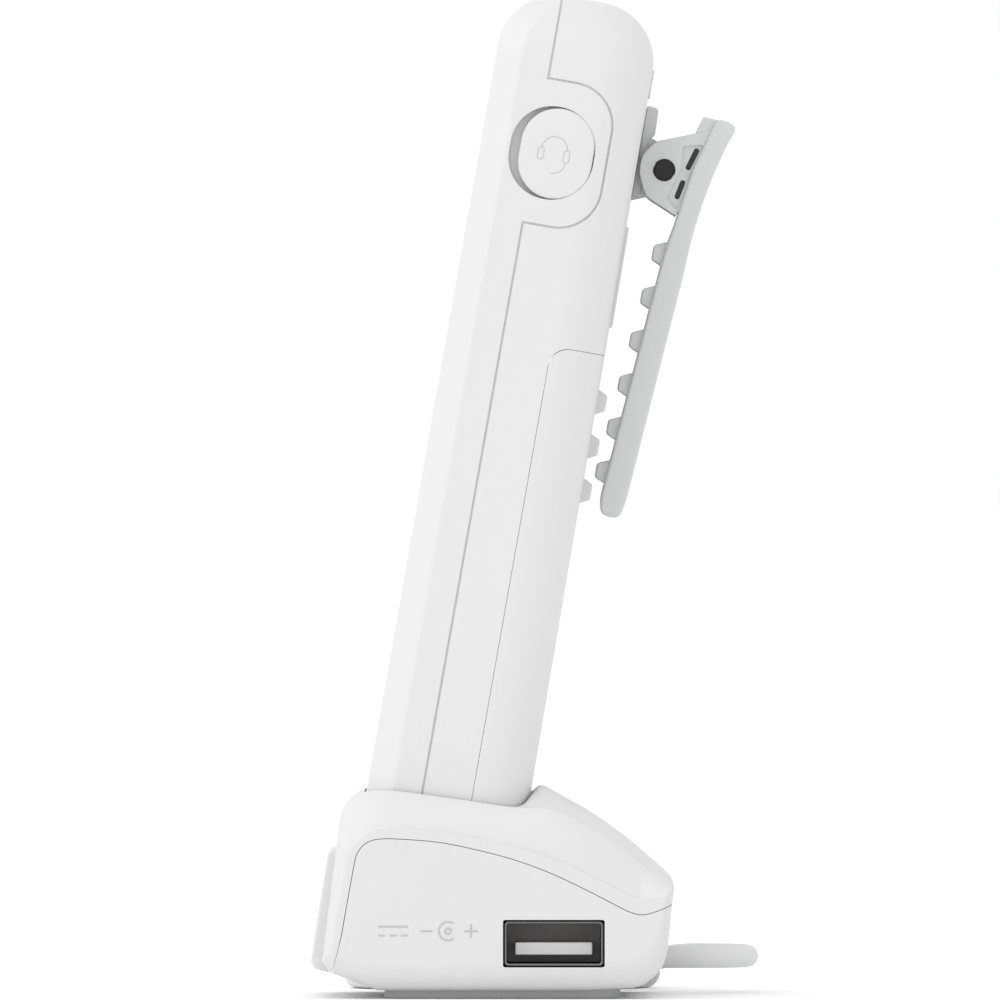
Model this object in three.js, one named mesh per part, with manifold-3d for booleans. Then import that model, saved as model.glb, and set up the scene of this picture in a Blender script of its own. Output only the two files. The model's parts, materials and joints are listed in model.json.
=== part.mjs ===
// A cordless phone standing in its charging cradle, leaning back, with a belt clip on its back.
// Millimetres, +Z up. X runs across the width and -Y is the front, where the display is.
// The origin is at the middle of the bottom of everything but the free power cord.
import * as THREE from "three";
import { mergeVertices } from "three/addons/utils/BufferGeometryUtils.js";
import Module from "manifold-3d";

const wasm = await Module();
wasm.setup();

// ---------------------------------------------------------------- driving dimensions
const GAP = 0.3; // between faces that touch
const FAR = 80; // reach of a cutting block past the object
const LEAN = THREE.MathUtils.degToRad(10); // the handset's lean from upright

const body = {
  width: 48,
  length: 122,
  footDepth: 22, // front to back at the foot
  headDepth: 20.2, // and at the head
  wall: 1.8,
  bevel: 3.9, // band along the front edges
  rearRadius: 7,
  headFrontRadius: 4,
  headRearRadius: 8,
  headSideRadius: 10,
  footRadius: 2.5,
  footY: -12.4, // middle of the foot's face in the cradle
  footZ: 14.6,
};
const cover = { behindSeam: 6.9, foot: 6, belowPivot: 26.2, corner: 2.7, rib: 1.3, ribWidth: 3.4 };
const keys = {
  columnGap: 3,
  rowGap: 2.5,
  firstRow: 24, // above the foot
  width: 10.6,
  height: 6,
  radius: 2,
  proud: 0.6, // above the sunk face round them
  flange: 0.8, // the lip behind the wall, and its thickness
  navOuter: 9,
  navInner: 4.3,
};
// Call and soft keys, beside the navigation ring.
const sideKeys = {
  width: 8.4,
  callHeight: 8,
  softHeight: 6,
  fromSide: 8.6,
  callBelow: 5, // the ring's middle
  softAbove: 5.5,
  overRows: 3.5,
};
// The sunk face that holds the keys and the display; the edges stand proud of it all round.
const face = { width: 40, sunk: 0.7, aboveFoot: 15.8, belowHead: 3.6, radius: 4 };
const inlay = { width: 22, proud: 0.4, deep: 0.6 };
const display = { width: 35, belowHead: 13, aboveNav: 13, lens: 1.4, module: 1.4 };
const board = { thick: 1.2, room: 1.8, toSeam: 0.2, fromEnds: 4 };
const earpiece = { radius: 3.5, belowHead: 9, slot: [10, 1.4], slotBelowHead: 7.5 };
const mic = { radius: 1.8, hole: 0.6, belowKeys: 6.4 };
const speaker = { radius: 8, thick: 4, aboveCover: 14 };
const antenna = { from: -14, to: 4, height: 3.5, thick: 1, belowHead: 9 };
const battery = { width: 35, thick: 9, behindSeam: 2.3, fromEnds: 6 };
const contact = { x: 8, width: 5.2, depth: 3.2, clear: 0.4, reach: 0.8 };
const housingScrew = { x: 16.5, belowHead: 13, head: 1.7, shank: 1, length: 8.1 };
const rocker = {
  aboveCover: 17,
  behindSeam: 3.9,
  width: 3.6,
  length: 15.4,
  proud: 0.6,
  lip: 1.3,
  lipThick: 0.8,
};
const jack = {
  belowHead: 21.3,
  barrel: 2.9,
  reach: 9,
  bore: 1.4,
  boreDeep: 7,
  width: 10,
  height: 12.3,
  thick: 1.4,
  scoop: 1.2,
  well: 2.6, // the recess's depth
  plugHole: 2,
};
const loop = { height: 19.4, behindJack: 6.7, radius: 5.5 }; // the front housing's tab round the jack
const clip = {
  width: 20,
  pivotBelowHead: 20.8,
  pivotBehind: 3.8, // back face to pin axis
  pin: 1.45,
  eye: 3.3,
  ear: 2.2,
  lug: 2.2,
  teeth: 6,
  pitch: 6.08,
  firstTooth: 11.2, // below the pivot
  tooth: 1.5,
  toothWidth: 3.3,
};
const cradle = {
  side: 4.7, // pocket to outer side
  wall: 2,
  floor: 1.2,
  fit: 0.3, // round the handset in the pocket
  under: 1.4, // tub's underside above the table
  height: 28.4,
  frontWall: 1.6,
  rear: 20.3,
  pad: 1.1,
  cup: 1.6,
};
const port = { y: 4.05, z: 7.3, width: 13.3, height: 6, depth: 12.6, sheet: 0.4 };
const cord = { diameter: 3, exitX: -12, exitZ: 5, midRadius: 15, layers: 4, x: -56.5, y: -3.5 };
const plug = { x: -50.3, y: -7.2, length: 18, width: 15.6, thick: 7.6 };
const plugShell = { length: 11.8, width: 12, thick: 4.5, sheet: 0.4 };

// Free stretches of the cord: from the cradle to the coil, and from the coil to the plug.
const LEAD_ROUTE = [
  [-12, 19.7, 5], [-12, 22.5, 5], [-12.3, 24.6, 5], [-13.1, 26.5, 5], [-14.3, 28.2, 5],
  [-16, 29.4, 5], [-17.9, 30.2, 5], [-20, 30.5, 5], [-23, 30.5, 5], [-26, 30.5, 5],
  [-28.9, 30.1, 4.95], [-31.5, 29, 4.9], [-33.8, 27.3, 4.75], [-35.5, 25, 4.5], [-36.6, 22.3, 4.1],
  [-37, 19.5, 3.55], [-37, 16, 2.75], [-37, 12, 1.95], [-37, 8.4, 1.6],
];
const TAIL_ROUTE = [
  [-39, 5.5, 14.1], [-38.9, 2.8, 14.1], [-39.3, 0.2, 14.2], [-40.3, -2.4, 14.5],
  [-42, -4.6, 15], [-44.4, -6.2, 15.6], [-47.2, -7, 16.1], [-50, -7.2, 16.4],
];

// ---------------------------------------------------------------- materials
function finish(color, roughness, metalness = 0) {
  return new THREE.MeshStandardMaterial({ color, roughness, metalness, flatShading: true });
}
const white = finish("#f1f1f1", 0.55);
const satinWhite = finish("#e9e9e9", 0.4);
const clipGrey = finish("#d6d7d8", 0.5);
const keyGrey = finish("#c9cbcc", 0.45);
const black = finish("#151515", 0.45);
const steel = finish("#9d9d9d", 0.3, 1);
const gold = finish("#c8a24a", 0.3, 1);
const glass = finish("#1c2226", 0.08);
const boardGreen = finish("#1f5a3a", 0.6);
const rubber = finish("#bcbdbe", 0.85);
const cordGrey = finish("#dedede", 0.6);

// ---------------------------------------------------------------- solids
// A closed geometry as a solid that can be joined and cut.
function solid(geometry) {
  const flat = geometry.index ? geometry.toNonIndexed() : geometry;
  const bare = new THREE.BufferGeometry();
  bare.setAttribute("position", flat.getAttribute("position"));
  const merged = mergeVertices(bare, 1e-4);
  const vertProperties = new Float32Array(merged.attributes.position.array);
  const triVerts = new Uint32Array(merged.index.array);
  return new wasm.Manifold(new wasm.Mesh({ numProp: 3, vertProperties, triVerts }));
}

function join(first, ...others) {
  return others.reduce((whole, other) => whole.add(other), first);
}

function cut(first, ...others) {
  return others.reduce((whole, other) => whole.subtract(other), first);
}

// A block between two opposite corners.
function block(low, high) {
  const size = high.map((h, i) => h - low[i]);
  const geometry = new THREE.BoxGeometry(...size);
  return solid(geometry.translate(...low.map((l, i) => l + size[i] / 2)));
}

// Columns of the matrices that turn an outline's own axes and its extrusion to X, Y and Z.
const ALONG_X = new THREE.Matrix4().set(0, 0, 1, 0, 1, 0, 0, 0, 0, 1, 0, 0, 0, 0, 0, 1);
const TO_FRONT = new THREE.Matrix4().set(1, 0, 0, 0, 0, 0, -1, 0, 0, 1, 0, 0, 0, 0, 0, 1);

// A side outline (Y, Z) carried along X from `from` to `to`.
function acrossX(shape, from, to) {
  const geometry = new THREE.ExtrudeGeometry(shape, {
    depth: to - from,
    bevelEnabled: false,
    curveSegments: 4,
  });
  return solid(geometry.translate(0, 0, from).applyMatrix4(ALONG_X));
}

// A front outline (X, Z) carried along Y from `from`, nearer the front, to `to`.
function alongY(shape, from, to, segments = 2) {
  const geometry = new THREE.ExtrudeGeometry(shape, {
    depth: to - from,
    bevelEnabled: false,
    curveSegments: segments,
  });
  return solid(geometry.translate(0, 0, -to).applyMatrix4(TO_FRONT));
}

function polygon(points) {
  return new THREE.Shape(points.map(([a, b]) => new THREE.Vector2(a, b)));
}

// A rectangle with round corners about a centre.
function roundedShape(a, b, width, height, radius) {
  const shape = new THREE.Shape();
  const [x, y] = [a - width / 2, b - height / 2];
  const r = Math.min(radius, width / 2 - 0.01, height / 2 - 0.01);
  shape.moveTo(x + r, y);
  shape.lineTo(x + width - r, y);
  shape.absarc(x + width - r, y + r, r, -Math.PI / 2, 0, false);
  shape.lineTo(x + width, y + height - r);
  shape.absarc(x + width - r, y + height - r, r, 0, Math.PI / 2, false);
  shape.lineTo(x + r, y + height);
  shape.absarc(x + r, y + height - r, r, Math.PI / 2, Math.PI, false);
  shape.lineTo(x, y + r);
  shape.absarc(x + r, y + r, r, Math.PI, 1.5 * Math.PI, false);
  return shape;
}

function circleShape(a, b, radius) {
  const shape = new THREE.Shape();
  shape.absarc(a, b, radius, 0, 2 * Math.PI, false);
  return shape;
}

// A round bar of a radius between two points.
function rod(radius, from, to, sides = 16) {
  const [start, end] = [new THREE.Vector3(...from), new THREE.Vector3(...to)];
  const way = end.clone().sub(start);
  const geometry = new THREE.CylinderGeometry(radius, radius, way.length(), sides);
  const turn = new THREE.Quaternion().setFromUnitVectors(
    new THREE.Vector3(0, 1, 0),
    way.clone().normalize(),
  );
  const middle = start.add(end).multiplyScalar(0.5);
  return solid(geometry.applyQuaternion(turn).translate(middle.x, middle.y, middle.z));
}

// A tube of a radius along a route of points.
function tube(route, radius, steps, halfSides = 4) {
  const path = new THREE.CatmullRomCurve3(route.map((p) => new THREE.Vector3(...p)));
  const section = new THREE.Shape();
  section.absarc(0, 0, radius, 0, 2 * Math.PI, false);
  return solid(
    new THREE.ExtrudeGeometry(section, {
      extrudePath: path,
      steps,
      curveSegments: halfSides,
      bevelEnabled: false,
    }),
  );
}

// Rings of equal point counts, anticlockwise from above and listed upwards, closed at both ends.
function loft(rings) {
  const count = rings[0].length;
  const last = (rings.length - 1) * count;
  const index = [];
  for (let ring = 0; ring < rings.length - 1; ring++) {
    for (let i = 0; i < count; i++) {
      const a = ring * count + i;
      const b = ring * count + ((i + 1) % count);
      index.push(a, b, b + count, a, b + count, a + count);
    }
  }
  for (let i = 1; i < count - 1; i++) index.push(0, i + 1, i, last, last + i, last + i + 1);
  const geometry = new THREE.BufferGeometry();
  geometry.setAttribute("position", new THREE.Float32BufferAttribute(rings.flat(2), 3));
  geometry.setIndex(index);
  return geometry;
}

// A finished part: its solid as a named mesh in its group.
function part(group, name, shape, material) {
  const made = shape.getMesh();
  const geometry = new THREE.BufferGeometry();
  geometry.setAttribute("position", new THREE.BufferAttribute(made.vertProperties, 3));
  geometry.setIndex(new THREE.BufferAttribute(made.triVerts, 1));
  geometry.computeVertexNormals();
  const mesh = new THREE.Mesh(geometry, material);
  mesh.name = name;
  group.add(mesh);
}

// ---------------------------------------------------------------- the handset's envelope
const faceAt = (z) => frontAt(z) + face.sunk;
const depthAt = (z) => THREE.MathUtils.lerp(body.footDepth, body.headDepth, z / body.length);
const frontAt = (z) => -depthAt(z) / 2;
const backAt = (z) => depthAt(z) / 2;

// How far a round edge of this radius has drawn in at a depth past where the edge starts.
function drawnIn(radius, past) {
  return past > 0 ? radius - Math.sqrt(Math.max(0, radius ** 2 - past ** 2)) : 0;
}

// The handset's outside, grown outwards all round, or shrunk where `grow` is negative.
function handsetEnvelope(grow) {
  const [foot, head] = [-grow, body.length + grow];
  const footRadius = Math.max(0.4, body.footRadius + grow);
  const sideRadius = body.headSideRadius + grow;
  const steps = [0, 0.35, 0.6, 0.8, 0.93, 1];
  const levels = [
    ...[1, 0.7, 0].map((s) => foot + footRadius * (1 - s)),
    ...steps.map((s) => head - sideRadius * (1 - s)),
  ];
  const rings = levels.map((z) => {
    const footIn = drawnIn(footRadius, foot + footRadius - z);
    const past = (radius) => drawnIn(radius + grow, z - (head - radius - grow));
    const half = body.width / 2 + grow - footIn - past(body.headSideRadius);
    const front = frontAt(z) - grow + footIn + past(body.headFrontRadius);
    const back = backAt(z) + grow - footIn - past(body.headRearRadius);
    const depth = back - front;
    const bevel = Math.min(body.bevel + grow, 0.3 * depth);
    const radius = Math.min(body.rearRadius + grow, 0.45 * depth);
    const ring = [[bevel - half, front], [half - bevel, front], [half, front + bevel]];
    const arc = [0, 1, 2, 3, 4].map((i) => (i / 4) * (Math.PI / 2));
    for (const t of arc) {
      ring.push([half - radius * (1 - Math.cos(t)), back - radius * (1 - Math.sin(t))]);
    }
    for (const t of arc) {
      ring.push([radius * (1 - Math.sin(t)) - half, back - radius * (1 - Math.cos(t))]);
    }
    ring.push([-half, front + bevel]);
    return ring.map(([x, y]) => [x, y, z]);
  });
  return loft(rings);
}

// The handset's own frame: Z up its length from the foot, -Y to its front.
const handsetFrame = new THREE.Matrix4()
  .makeRotationX(-LEAN)
  .setPosition(0, body.footY, body.footZ);

// ---------------------------------------------------------------- the handset
const handset = new THREE.Group();
handset.applyMatrix4(handsetFrame);

const half = body.width / 2;
const boardY = frontAt(body.length) + body.wall + board.room + display.module;
const boardBack = boardY + board.thick;
const seamY = boardBack + board.toSeam;
const coverSeamY = seamY + cover.behindSeam;
const pivotZ = body.length - clip.pivotBelowHead;
const pivotY = backAt(pivotZ) + clip.pivotBehind;
const coverTop = pivotZ - cover.belowPivot;
const jackZ = body.length - jack.belowHead;
const jackY = boardBack + GAP + jack.barrel;
const envelope = solid(handsetEnvelope(0));
const cavity = solid(handsetEnvelope(-body.wall));
const walls = cut(envelope, cavity);

// Keypad layout: places on the front and sizes.
const columnPitch = keys.width + keys.columnGap;
const rowPitch = keys.height + keys.rowGap;
const keysTop = keys.firstRow + 3 * rowPitch + keys.height / 2;
const navZ = keysTop + sideKeys.overRows + keys.navOuter;
const sideX = half - sideKeys.fromSide;
const keyPlaces = [];
const legends = ["key_star", "key_0", "key_pound", "key_7", "key_8", "key_9"];
legends.push("key_4", "key_5", "key_6", "key_1", "key_2", "key_3");
legends.forEach((name, i) => {
  const x = ((i % 3) - 1) * columnPitch;
  const z = keys.firstRow + Math.floor(i / 3) * rowPitch;
  keyPlaces.push({ name, x, z, width: keys.width, height: keys.height });
});
for (const [side, sign] of [["left", -1], ["right", 1]]) {
  const [x, width] = [sign * sideX, sideKeys.width];
  const call = { name: sign < 0 ? "talk_key" : "end_key", z: navZ - sideKeys.callBelow };
  keyPlaces.push({ ...call, x, width, height: sideKeys.callHeight });
  const soft = { name: "soft_key_" + side, z: navZ + sideKeys.softAbove };
  keyPlaces.push({ ...soft, x, width, height: sideKeys.softHeight });
}

function keyPrism(place, grow, from, to) {
  const { x, z, width, height } = place;
  const shape = roundedShape(x, z, width + 2 * grow, height + 2 * grow, keys.radius + grow);
  return alongY(shape, from, to);
}

// The battery cover's region: everything behind its side seams, round at its top corners.
function coverRegion(grow) {
  const [low, high, front] = [cover.foot - grow, coverTop + grow, coverSeamY - grow];
  const shape = new THREE.Shape();
  shape.moveTo(front, low);
  shape.lineTo(FAR, low);
  shape.lineTo(FAR, high);
  shape.lineTo(front + cover.corner, high);
  shape.quadraticCurveTo(front, high, front, high - cover.corner);
  return acrossX(shape, -FAR, FAR);
}

// The tab of the front housing that runs back round the headset jack.
function jackTab(grow) {
  const [start, end] = [seamY - 3, jackY + loop.behindJack];
  const depth = end - start + 2 * grow;
  const middle = (end + start) / 2;
  const shape = roundedShape(middle, jackZ, depth, loop.height + 2 * grow, loop.radius + grow);
  return acrossX(shape, half - 2 * body.wall, half + 1);
}

// What is cut away over the front's sunk face, which follows the front's taper.
function overFace() {
  const [low, high] = [face.aboveFoot, body.length - face.belowHead];
  const depth = polygon([
    [-FAR, low],
    [faceAt(low), low],
    [faceAt(high), high],
    [-FAR, high],
  ]);
  const shape = roundedShape(0, (low + high) / 2, face.width, high - low, face.radius);
  return acrossX(depth, -half, half).intersect(alongY(shape, -FAR, 0));
}

// The well round the jack: its outside, or the recess in it where `grow` is negative.
function jackWell(grow, from, to) {
  const shape = roundedShape(
    jackY - jack.scoop / 2,
    jackZ,
    jack.width + jack.scoop + 2 * (GAP + grow),
    jack.height + 2 * (GAP + grow),
    jack.width / 2 + grow,
  );
  return acrossX(shape, from, to);
}

function makeHousings() {
  const frontHalf = block([-FAR, -FAR, -FAR], [FAR, seamY - GAP / 2, 2 * FAR]);
  const rearHalf = block([-FAR, seamY + GAP / 2, -FAR], [FAR, FAR, 2 * FAR]);
  const [low, high] = [display.low, display.high];
  const windowShape = roundedShape(0, (low + high) / 2, display.width, high - low, 2);
  const openings = keyPlaces.map((place) => keyPrism(place, GAP, -FAR, 0));
  openings.push(overFace());
  openings.push(alongY(circleShape(0, navZ, keys.navOuter + GAP), -FAR, 0, 8));
  openings.push(alongY(windowShape, -FAR, 0));
  const slotZ = body.length - earpiece.slotBelowHead;
  const [slotWidth, slotHeight] = earpiece.slot;
  const slot = roundedShape(0, slotZ, slotWidth, slotHeight, slotHeight / 2);
  openings.push(alongY(slot, -FAR, 0));
  openings.push(alongY(circleShape(0, micZ, mic.hole), -FAR, 0));
  openings.push(jackWell(0, half - jack.well, half + 1));
  openings.push(rod(jack.plugHole, [0, jackY, jackZ], [half, jackY, jackZ], 14));
  const [wide, deep] = [contact.width / 2 + contact.clear, contact.depth / 2 + contact.clear];
  const slots = contactPlaces.map((x) => {
    return block([x - wide, -deep, -1], [x + wide, deep, body.wall + 0.1]);
  });
  const well = jackWell(wellWall, wellX, half).intersect(envelope);
  const frontWall = join(walls.intersect(frontHalf), walls.intersect(jackTab(0)), well);
  part(handset, "front_housing", cut(frontWall, ...openings), white);

  const trayTop = coverTop + GAP;
  const tray = join(
    block([-half, seamY + GAP / 2 + 1, cover.foot], [half, seamY + 2, coverTop]),
    block([-half, seamY + GAP / 2 + 1, trayTop], [half, FAR, trayTop + 1.4]),
  ).intersect(envelope);
  const [side, up] = [rocker.width / 2 + GAP, rocker.length / 2 + GAP];
  const rockerHole = block(
    [-half - 1, rockerY - side, rockerZ - up],
    [2 * body.wall - half, rockerY + side, rockerZ + up],
  );
  const rearWall = join(walls.intersect(rearHalf), tray);
  const wellRoom = jackWell(wellWall + GAP, wellX - GAP, half);
  const away = [jackTab(GAP), wellRoom, coverRegion(GAP), inlayStrip(GAP)];
  part(handset, "rear_housing", cut(rearWall, ...away, rockerHole, ...slots), white);
}

function makeBatteryCover() {
  const ribs = [];
  for (let i = 0; i < 3; i++) {
    const z = pivotZ - clip.firstTooth - (i + 3.5) * clip.pitch;
    const y = backAt(z);
    const [reach, foot] = [cover.rib, cover.ribWidth / 2];
    const outline = [[y - 1, z - foot], [y, z - foot], [y + reach, z - 0.6 * foot]];
    outline.push([y + reach, z + 0.6 * foot], [y, z + foot], [y - 1, z + foot]);
    ribs.push(acrossX(polygon(outline), -clip.width / 2, clip.width / 2));
  }
  const shell = walls.intersect(coverRegion(0));
  part(handset, "battery_cover", join(shell, ...ribs), white);
  const [packX, packY] = [battery.width / 2, seamY + battery.behindSeam];
  const pack = block(
    [-packX, packY, cover.foot + battery.fromEnds],
    [packX, packY + battery.thick, coverTop - battery.fromEnds],
  );
  part(handset, "battery_pack", pack.intersect(solid(handsetEnvelope(-body.wall - 1))), black);
  part(handset, "rear_inlay", inlayStrip(0), satinWhite);
}

// The strip let into the back between the battery cover and the clip, standing a little proud.
function inlayStrip(grow) {
  const [low, high] = [coverTop + 4 - grow, pivotZ - 8.5 + grow];
  const strip = polygon([
    [backAt(low) - inlay.deep - grow, low],
    [backAt(low) + inlay.proud + grow, low],
    [backAt(high) + inlay.proud + grow, high],
    [backAt(high) - inlay.deep - grow, high],
  ]);
  return acrossX(strip, -inlay.width / 2 - grow, inlay.width / 2 + grow);
}

function makeDisplay() {
  const [low, high] = [display.low + GAP, display.high - GAP];
  const middle = (low + high) / 2;
  const wide = display.width - 2 * GAP;
  const front = faceAt(middle) + 0.1;
  const lens = alongY(roundedShape(0, middle, wide, high - low, 2), front, front + display.lens);
  part(handset, "display_lens", lens, glass);
  const back = boardY - GAP;
  const module = block([-wide / 2, back - display.module, low], [wide / 2, back, high]);
  part(handset, "display_module", module, black);
}

// A key cap that stands through the front wall, with a lip behind the wall that keeps it in.
function keyCap(place) {
  const back = frontAt(place.z) + body.wall + GAP;
  const cap = keyPrism(place, 0, faceAt(place.z) - keys.proud, back + keys.flange);
  const lip = keyPrism(place, keys.flange, back, back + keys.flange);
  return join(cap, lip);
}

function makeKeys() {
  for (const place of keyPlaces) part(handset, place.name, keyCap(place), keyGrey);
  const front = faceAt(navZ);
  const back = frontAt(navZ) + body.wall + GAP;
  const { navOuter, navInner, proud, flange } = keys;
  const ringLip = alongY(circleShape(0, navZ, navOuter + flange), back, back + flange, 8);
  const ring = alongY(circleShape(0, navZ, navOuter), front - proud, back + flange, 8);
  const eye = alongY(circleShape(0, navZ, navInner), -FAR, FAR, 6);
  part(handset, "nav_ring", cut(join(ring, ringLip), eye), keyGrey);
  const middle = circleShape(0, navZ, navInner - GAP);
  part(handset, "ok_key", alongY(middle, front - proud, back + flange, 6), clipGrey);
}

// The volume rocker in the left side, pressed straight in.
function makeRocker() {
  const { width, length, proud, lip, lipThick } = rocker;
  const shape = roundedShape(rockerY, rockerZ, width, length, width / 2);
  const inner = body.wall - half + GAP;
  const behind = block(
    [inner, rockerY - width / 2 - lip, rockerZ - length / 2 - lip],
    [inner + lipThick, rockerY + width / 2 + lip, rockerZ + length / 2 + lip],
  );
  const cap = acrossX(shape, -half - proud, inner + lipThick / 4);
  part(handset, "volume_rocker", join(cap, behind), keyGrey);
}

function makeInsides() {
  const inside = solid(handsetEnvelope(-body.wall - 0.6));
  const ends = [board.fromEnds, body.length - board.fromEnds];
  const sheet = block([-half, boardY, ends[0]], [half, boardBack, ends[1]]);
  const wellRoom = jackWell(wellWall + GAP, wellX - GAP, half);
  part(handset, "main_board", cut(sheet.intersect(inside), wellRoom), boardGreen);

  // A round part between the front wall and the board.
  const inFront = (name, radius, z, sides) => {
    const front = frontAt(z) + body.wall + 2 * GAP;
    part(handset, name, rod(radius, [0, front, z], [0, boardY - GAP, z], sides), black);
  };
  inFront("earpiece", earpiece.radius, body.length - earpiece.belowHead, 20);
  inFront("microphone", mic.radius, micZ, 14);
  const behind = boardBack + GAP;
  const speakerZ = coverTop + speaker.aboveCover;
  const cone = rod(speaker.radius, [0, behind, speakerZ], [0, behind + speaker.thick, speakerZ], 24);
  part(handset, "ringer_speaker", cone, black);
  const antennaZ = body.length - antenna.belowHead;
  const strip = block(
    [antenna.from, behind, antennaZ],
    [antenna.to, behind + antenna.thick, antennaZ + antenna.height],
  );
  part(handset, "antenna", strip, gold);
  const mouthX = wellX - GAP;
  const barrel = rod(jack.barrel, [mouthX - jack.reach, jackY, jackZ], [mouthX, jackY, jackZ]);
  const bore = rod(jack.bore, [mouthX - jack.boreDeep, jackY, jackZ], [half, jackY, jackZ], 12);
  part(handset, "headset_jack", cut(barrel, bore), black);
  contactPlaces.forEach((x, i) => {
    const [wide, deep] = [contact.width / 2, contact.depth / 2];
    const plate = block([x - wide, -deep, 1], [x + wide, deep, body.wall + contact.reach - 0.2]);
    part(handset, "charge_contact_" + (i ? "right" : "left"), plate, gold);
  });
  for (const [side, sign] of [["left", -1], ["right", 1]]) {
    const x = sign * housingScrew.x;
    const z = body.length - housingScrew.belowHead;
    const under = seamY + housingScrew.length;
    const head = rod(housingScrew.head, [x, under, z], [x, under + 1, z], 12);
    const shank = rod(housingScrew.shank, [x, seamY, z], [x, under + 0.1, z], 10);
    part(handset, "housing_screw_" + side, join(head, shank), steel);
  }
}

// The cover over the headset jack; its rear straight edge is its hinge.
function makeHeadsetCover() {
  const shape = roundedShape(jackY, jackZ, jack.width, jack.height, jack.width / 2);
  part(handset, "headset_cover", acrossX(shape, half - jack.thick, half + 0.15), white);
}

// The clip's bracket, fixed to the back, with two lugs that hold the pin.
function makeClipBracket() {
  const seat = backAt(pivotZ) + GAP;
  const plate = polygon([
    [seat, pivotZ - 5],
    [seat + 0.9, pivotZ - 5],
    [seat + 0.9, pivotZ + 8.2],
    [seat + 0.1, pivotZ + 8.2],
  ]);
  const lugs = [-1, 1].map((side) => {
    const outline = new THREE.Shape();
    outline.moveTo(seat, pivotZ - 4.7);
    outline.lineTo(pivotY, pivotZ - clip.eye);
    outline.absarc(pivotY, pivotZ, clip.eye, -Math.PI / 2, Math.PI / 2, false);
    outline.lineTo(seat, pivotZ + 4.4);
    const inner = side * (lugX - clip.lug);
    const outer = side * lugX;
    return acrossX(outline, Math.min(inner, outer), Math.max(inner, outer));
  });
  const bore = rod(clip.pin + GAP, [-half, pivotY, pivotZ], [half, pivotY, pivotZ]);
  const width = lugX + 0.2;
  const bracket = join(acrossX(plate, -width, width), ...lugs);
  part(handset, "clip_bracket", cut(bracket, bore), clipGrey);
  const end = clip.width / 2 - 0.2;
  part(handset, "clip_pin", rod(clip.pin, [-end, pivotY, pivotZ], [end, pivotY, pivotZ]), black);
}

// The spring's turns round the pin, between the lugs, with one leg along the bracket.
function makeClipSpring() {
  const wire = 0.3;
  const turns = 4;
  const reach = lugX - clip.lug - wire - GAP;
  const radius = clip.pin + GAP + wire;
  const route = [[-reach, pivotY - radius, pivotZ - 4]];
  const steps = turns * 8;
  for (let i = 0; i <= steps; i++) {
    const angle = Math.PI + (2 * Math.PI * i) / 8;
    const x = -reach + (2 * reach * i) / steps;
    route.push([x, pivotY + radius * Math.cos(angle), pivotZ - radius * Math.sin(angle)]);
  }
  route.push([reach, pivotY - radius, pivotZ - 4]);
  part(handset, "clip_spring", tube(route, wire, 44, 2), steel);
}

// The clip itself: a curved arm with ears at the pin and teeth that grip a belt.
function makeClipArm() {
  const at = (y, z) => [pivotY + y, pivotZ + z];
  const arm = new THREE.Shape();
  arm.moveTo(...at(2.76, -46.8));
  arm.lineTo(...at(4.9, -14.6));
  arm.quadraticCurveTo(...at(5.6, -3.6), ...at(6.7, 1.3));
  arm.quadraticCurveTo(...at(7.4, 4.3), ...at(8.75, 6.8));
  arm.lineTo(...at(5.6, 7));
  arm.lineTo(...at(3.7, 0.5));
  arm.lineTo(...at(1.85, -12.2));
  arm.lineTo(...at(-0.6, -42.7));
  arm.quadraticCurveTo(...at(-0.8, -47.5), ...at(1.2, -47.5));
  const innerFace = (z) => THREE.MathUtils.mapLinear(z, -12.2, -42.7, 1.85, -0.6);
  const pieces = [acrossX(arm, -clip.width / 2, clip.width / 2)];
  for (let i = 0; i < clip.teeth; i++) {
    const z = -clip.firstTooth - i * clip.pitch;
    const y = innerFace(z);
    const foot = clip.toothWidth / 2;
    const outline = [at(y + 1, z - foot), at(y, z - foot), at(y - clip.tooth, z - 0.55 * foot)];
    outline.push(at(y - clip.tooth, z + 0.55 * foot), at(y, z + foot), at(y + 1, z + foot));
    pieces.push(acrossX(polygon(outline.reverse()), 1 - clip.width / 2, clip.width / 2 - 1));
  }
  for (const side of [-1, 1]) {
    const ear = new THREE.Shape();
    ear.absarc(...at(0, 0), clip.eye, Math.PI * 0.62, Math.PI * 1.42, false);
    ear.lineTo(...at(3.4, -6));
    ear.lineTo(...at(5.4, -2));
    ear.lineTo(...at(6.3, 6.2));
    const inner = side * (clip.width / 2 - 0.6 - clip.ear);
    const outer = side * (clip.width / 2 - 0.6);
    pieces.push(acrossX(ear, Math.min(inner, outer), Math.max(inner, outer)));
  }
  const bore = rod(clip.pin + GAP, [-half, pivotY, pivotZ], [half, pivotY, pivotZ]);
  part(handset, "belt_clip_arm", cut(join(...pieces), bore), clipGrey);
}

const contactPlaces = [-contact.x, contact.x];
const micZ = keys.firstRow - mic.belowKeys;
const wellWall = 1.1; // round the jack's recess, and a little more behind it
const wellX = half - jack.well - wellWall - 0.1;
const lugX = clip.width / 2 - 0.6 - clip.ear - GAP;
const rockerZ = coverTop + rocker.aboveCover;
const rockerY = seamY + rocker.behindSeam;
display.low = navZ + display.aboveNav;
display.high = body.length - display.belowHead;

makeHousings();
makeBatteryCover();
makeDisplay();
makeKeys();
makeRocker();
makeInsides();
makeHeadsetCover();
makeClipBracket();
makeClipSpring();
makeClipArm();

// ---------------------------------------------------------------- the cradle
const cradleGroup = new THREE.Group();
const baseHalf = half + cradle.fit + cradle.side;
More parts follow.
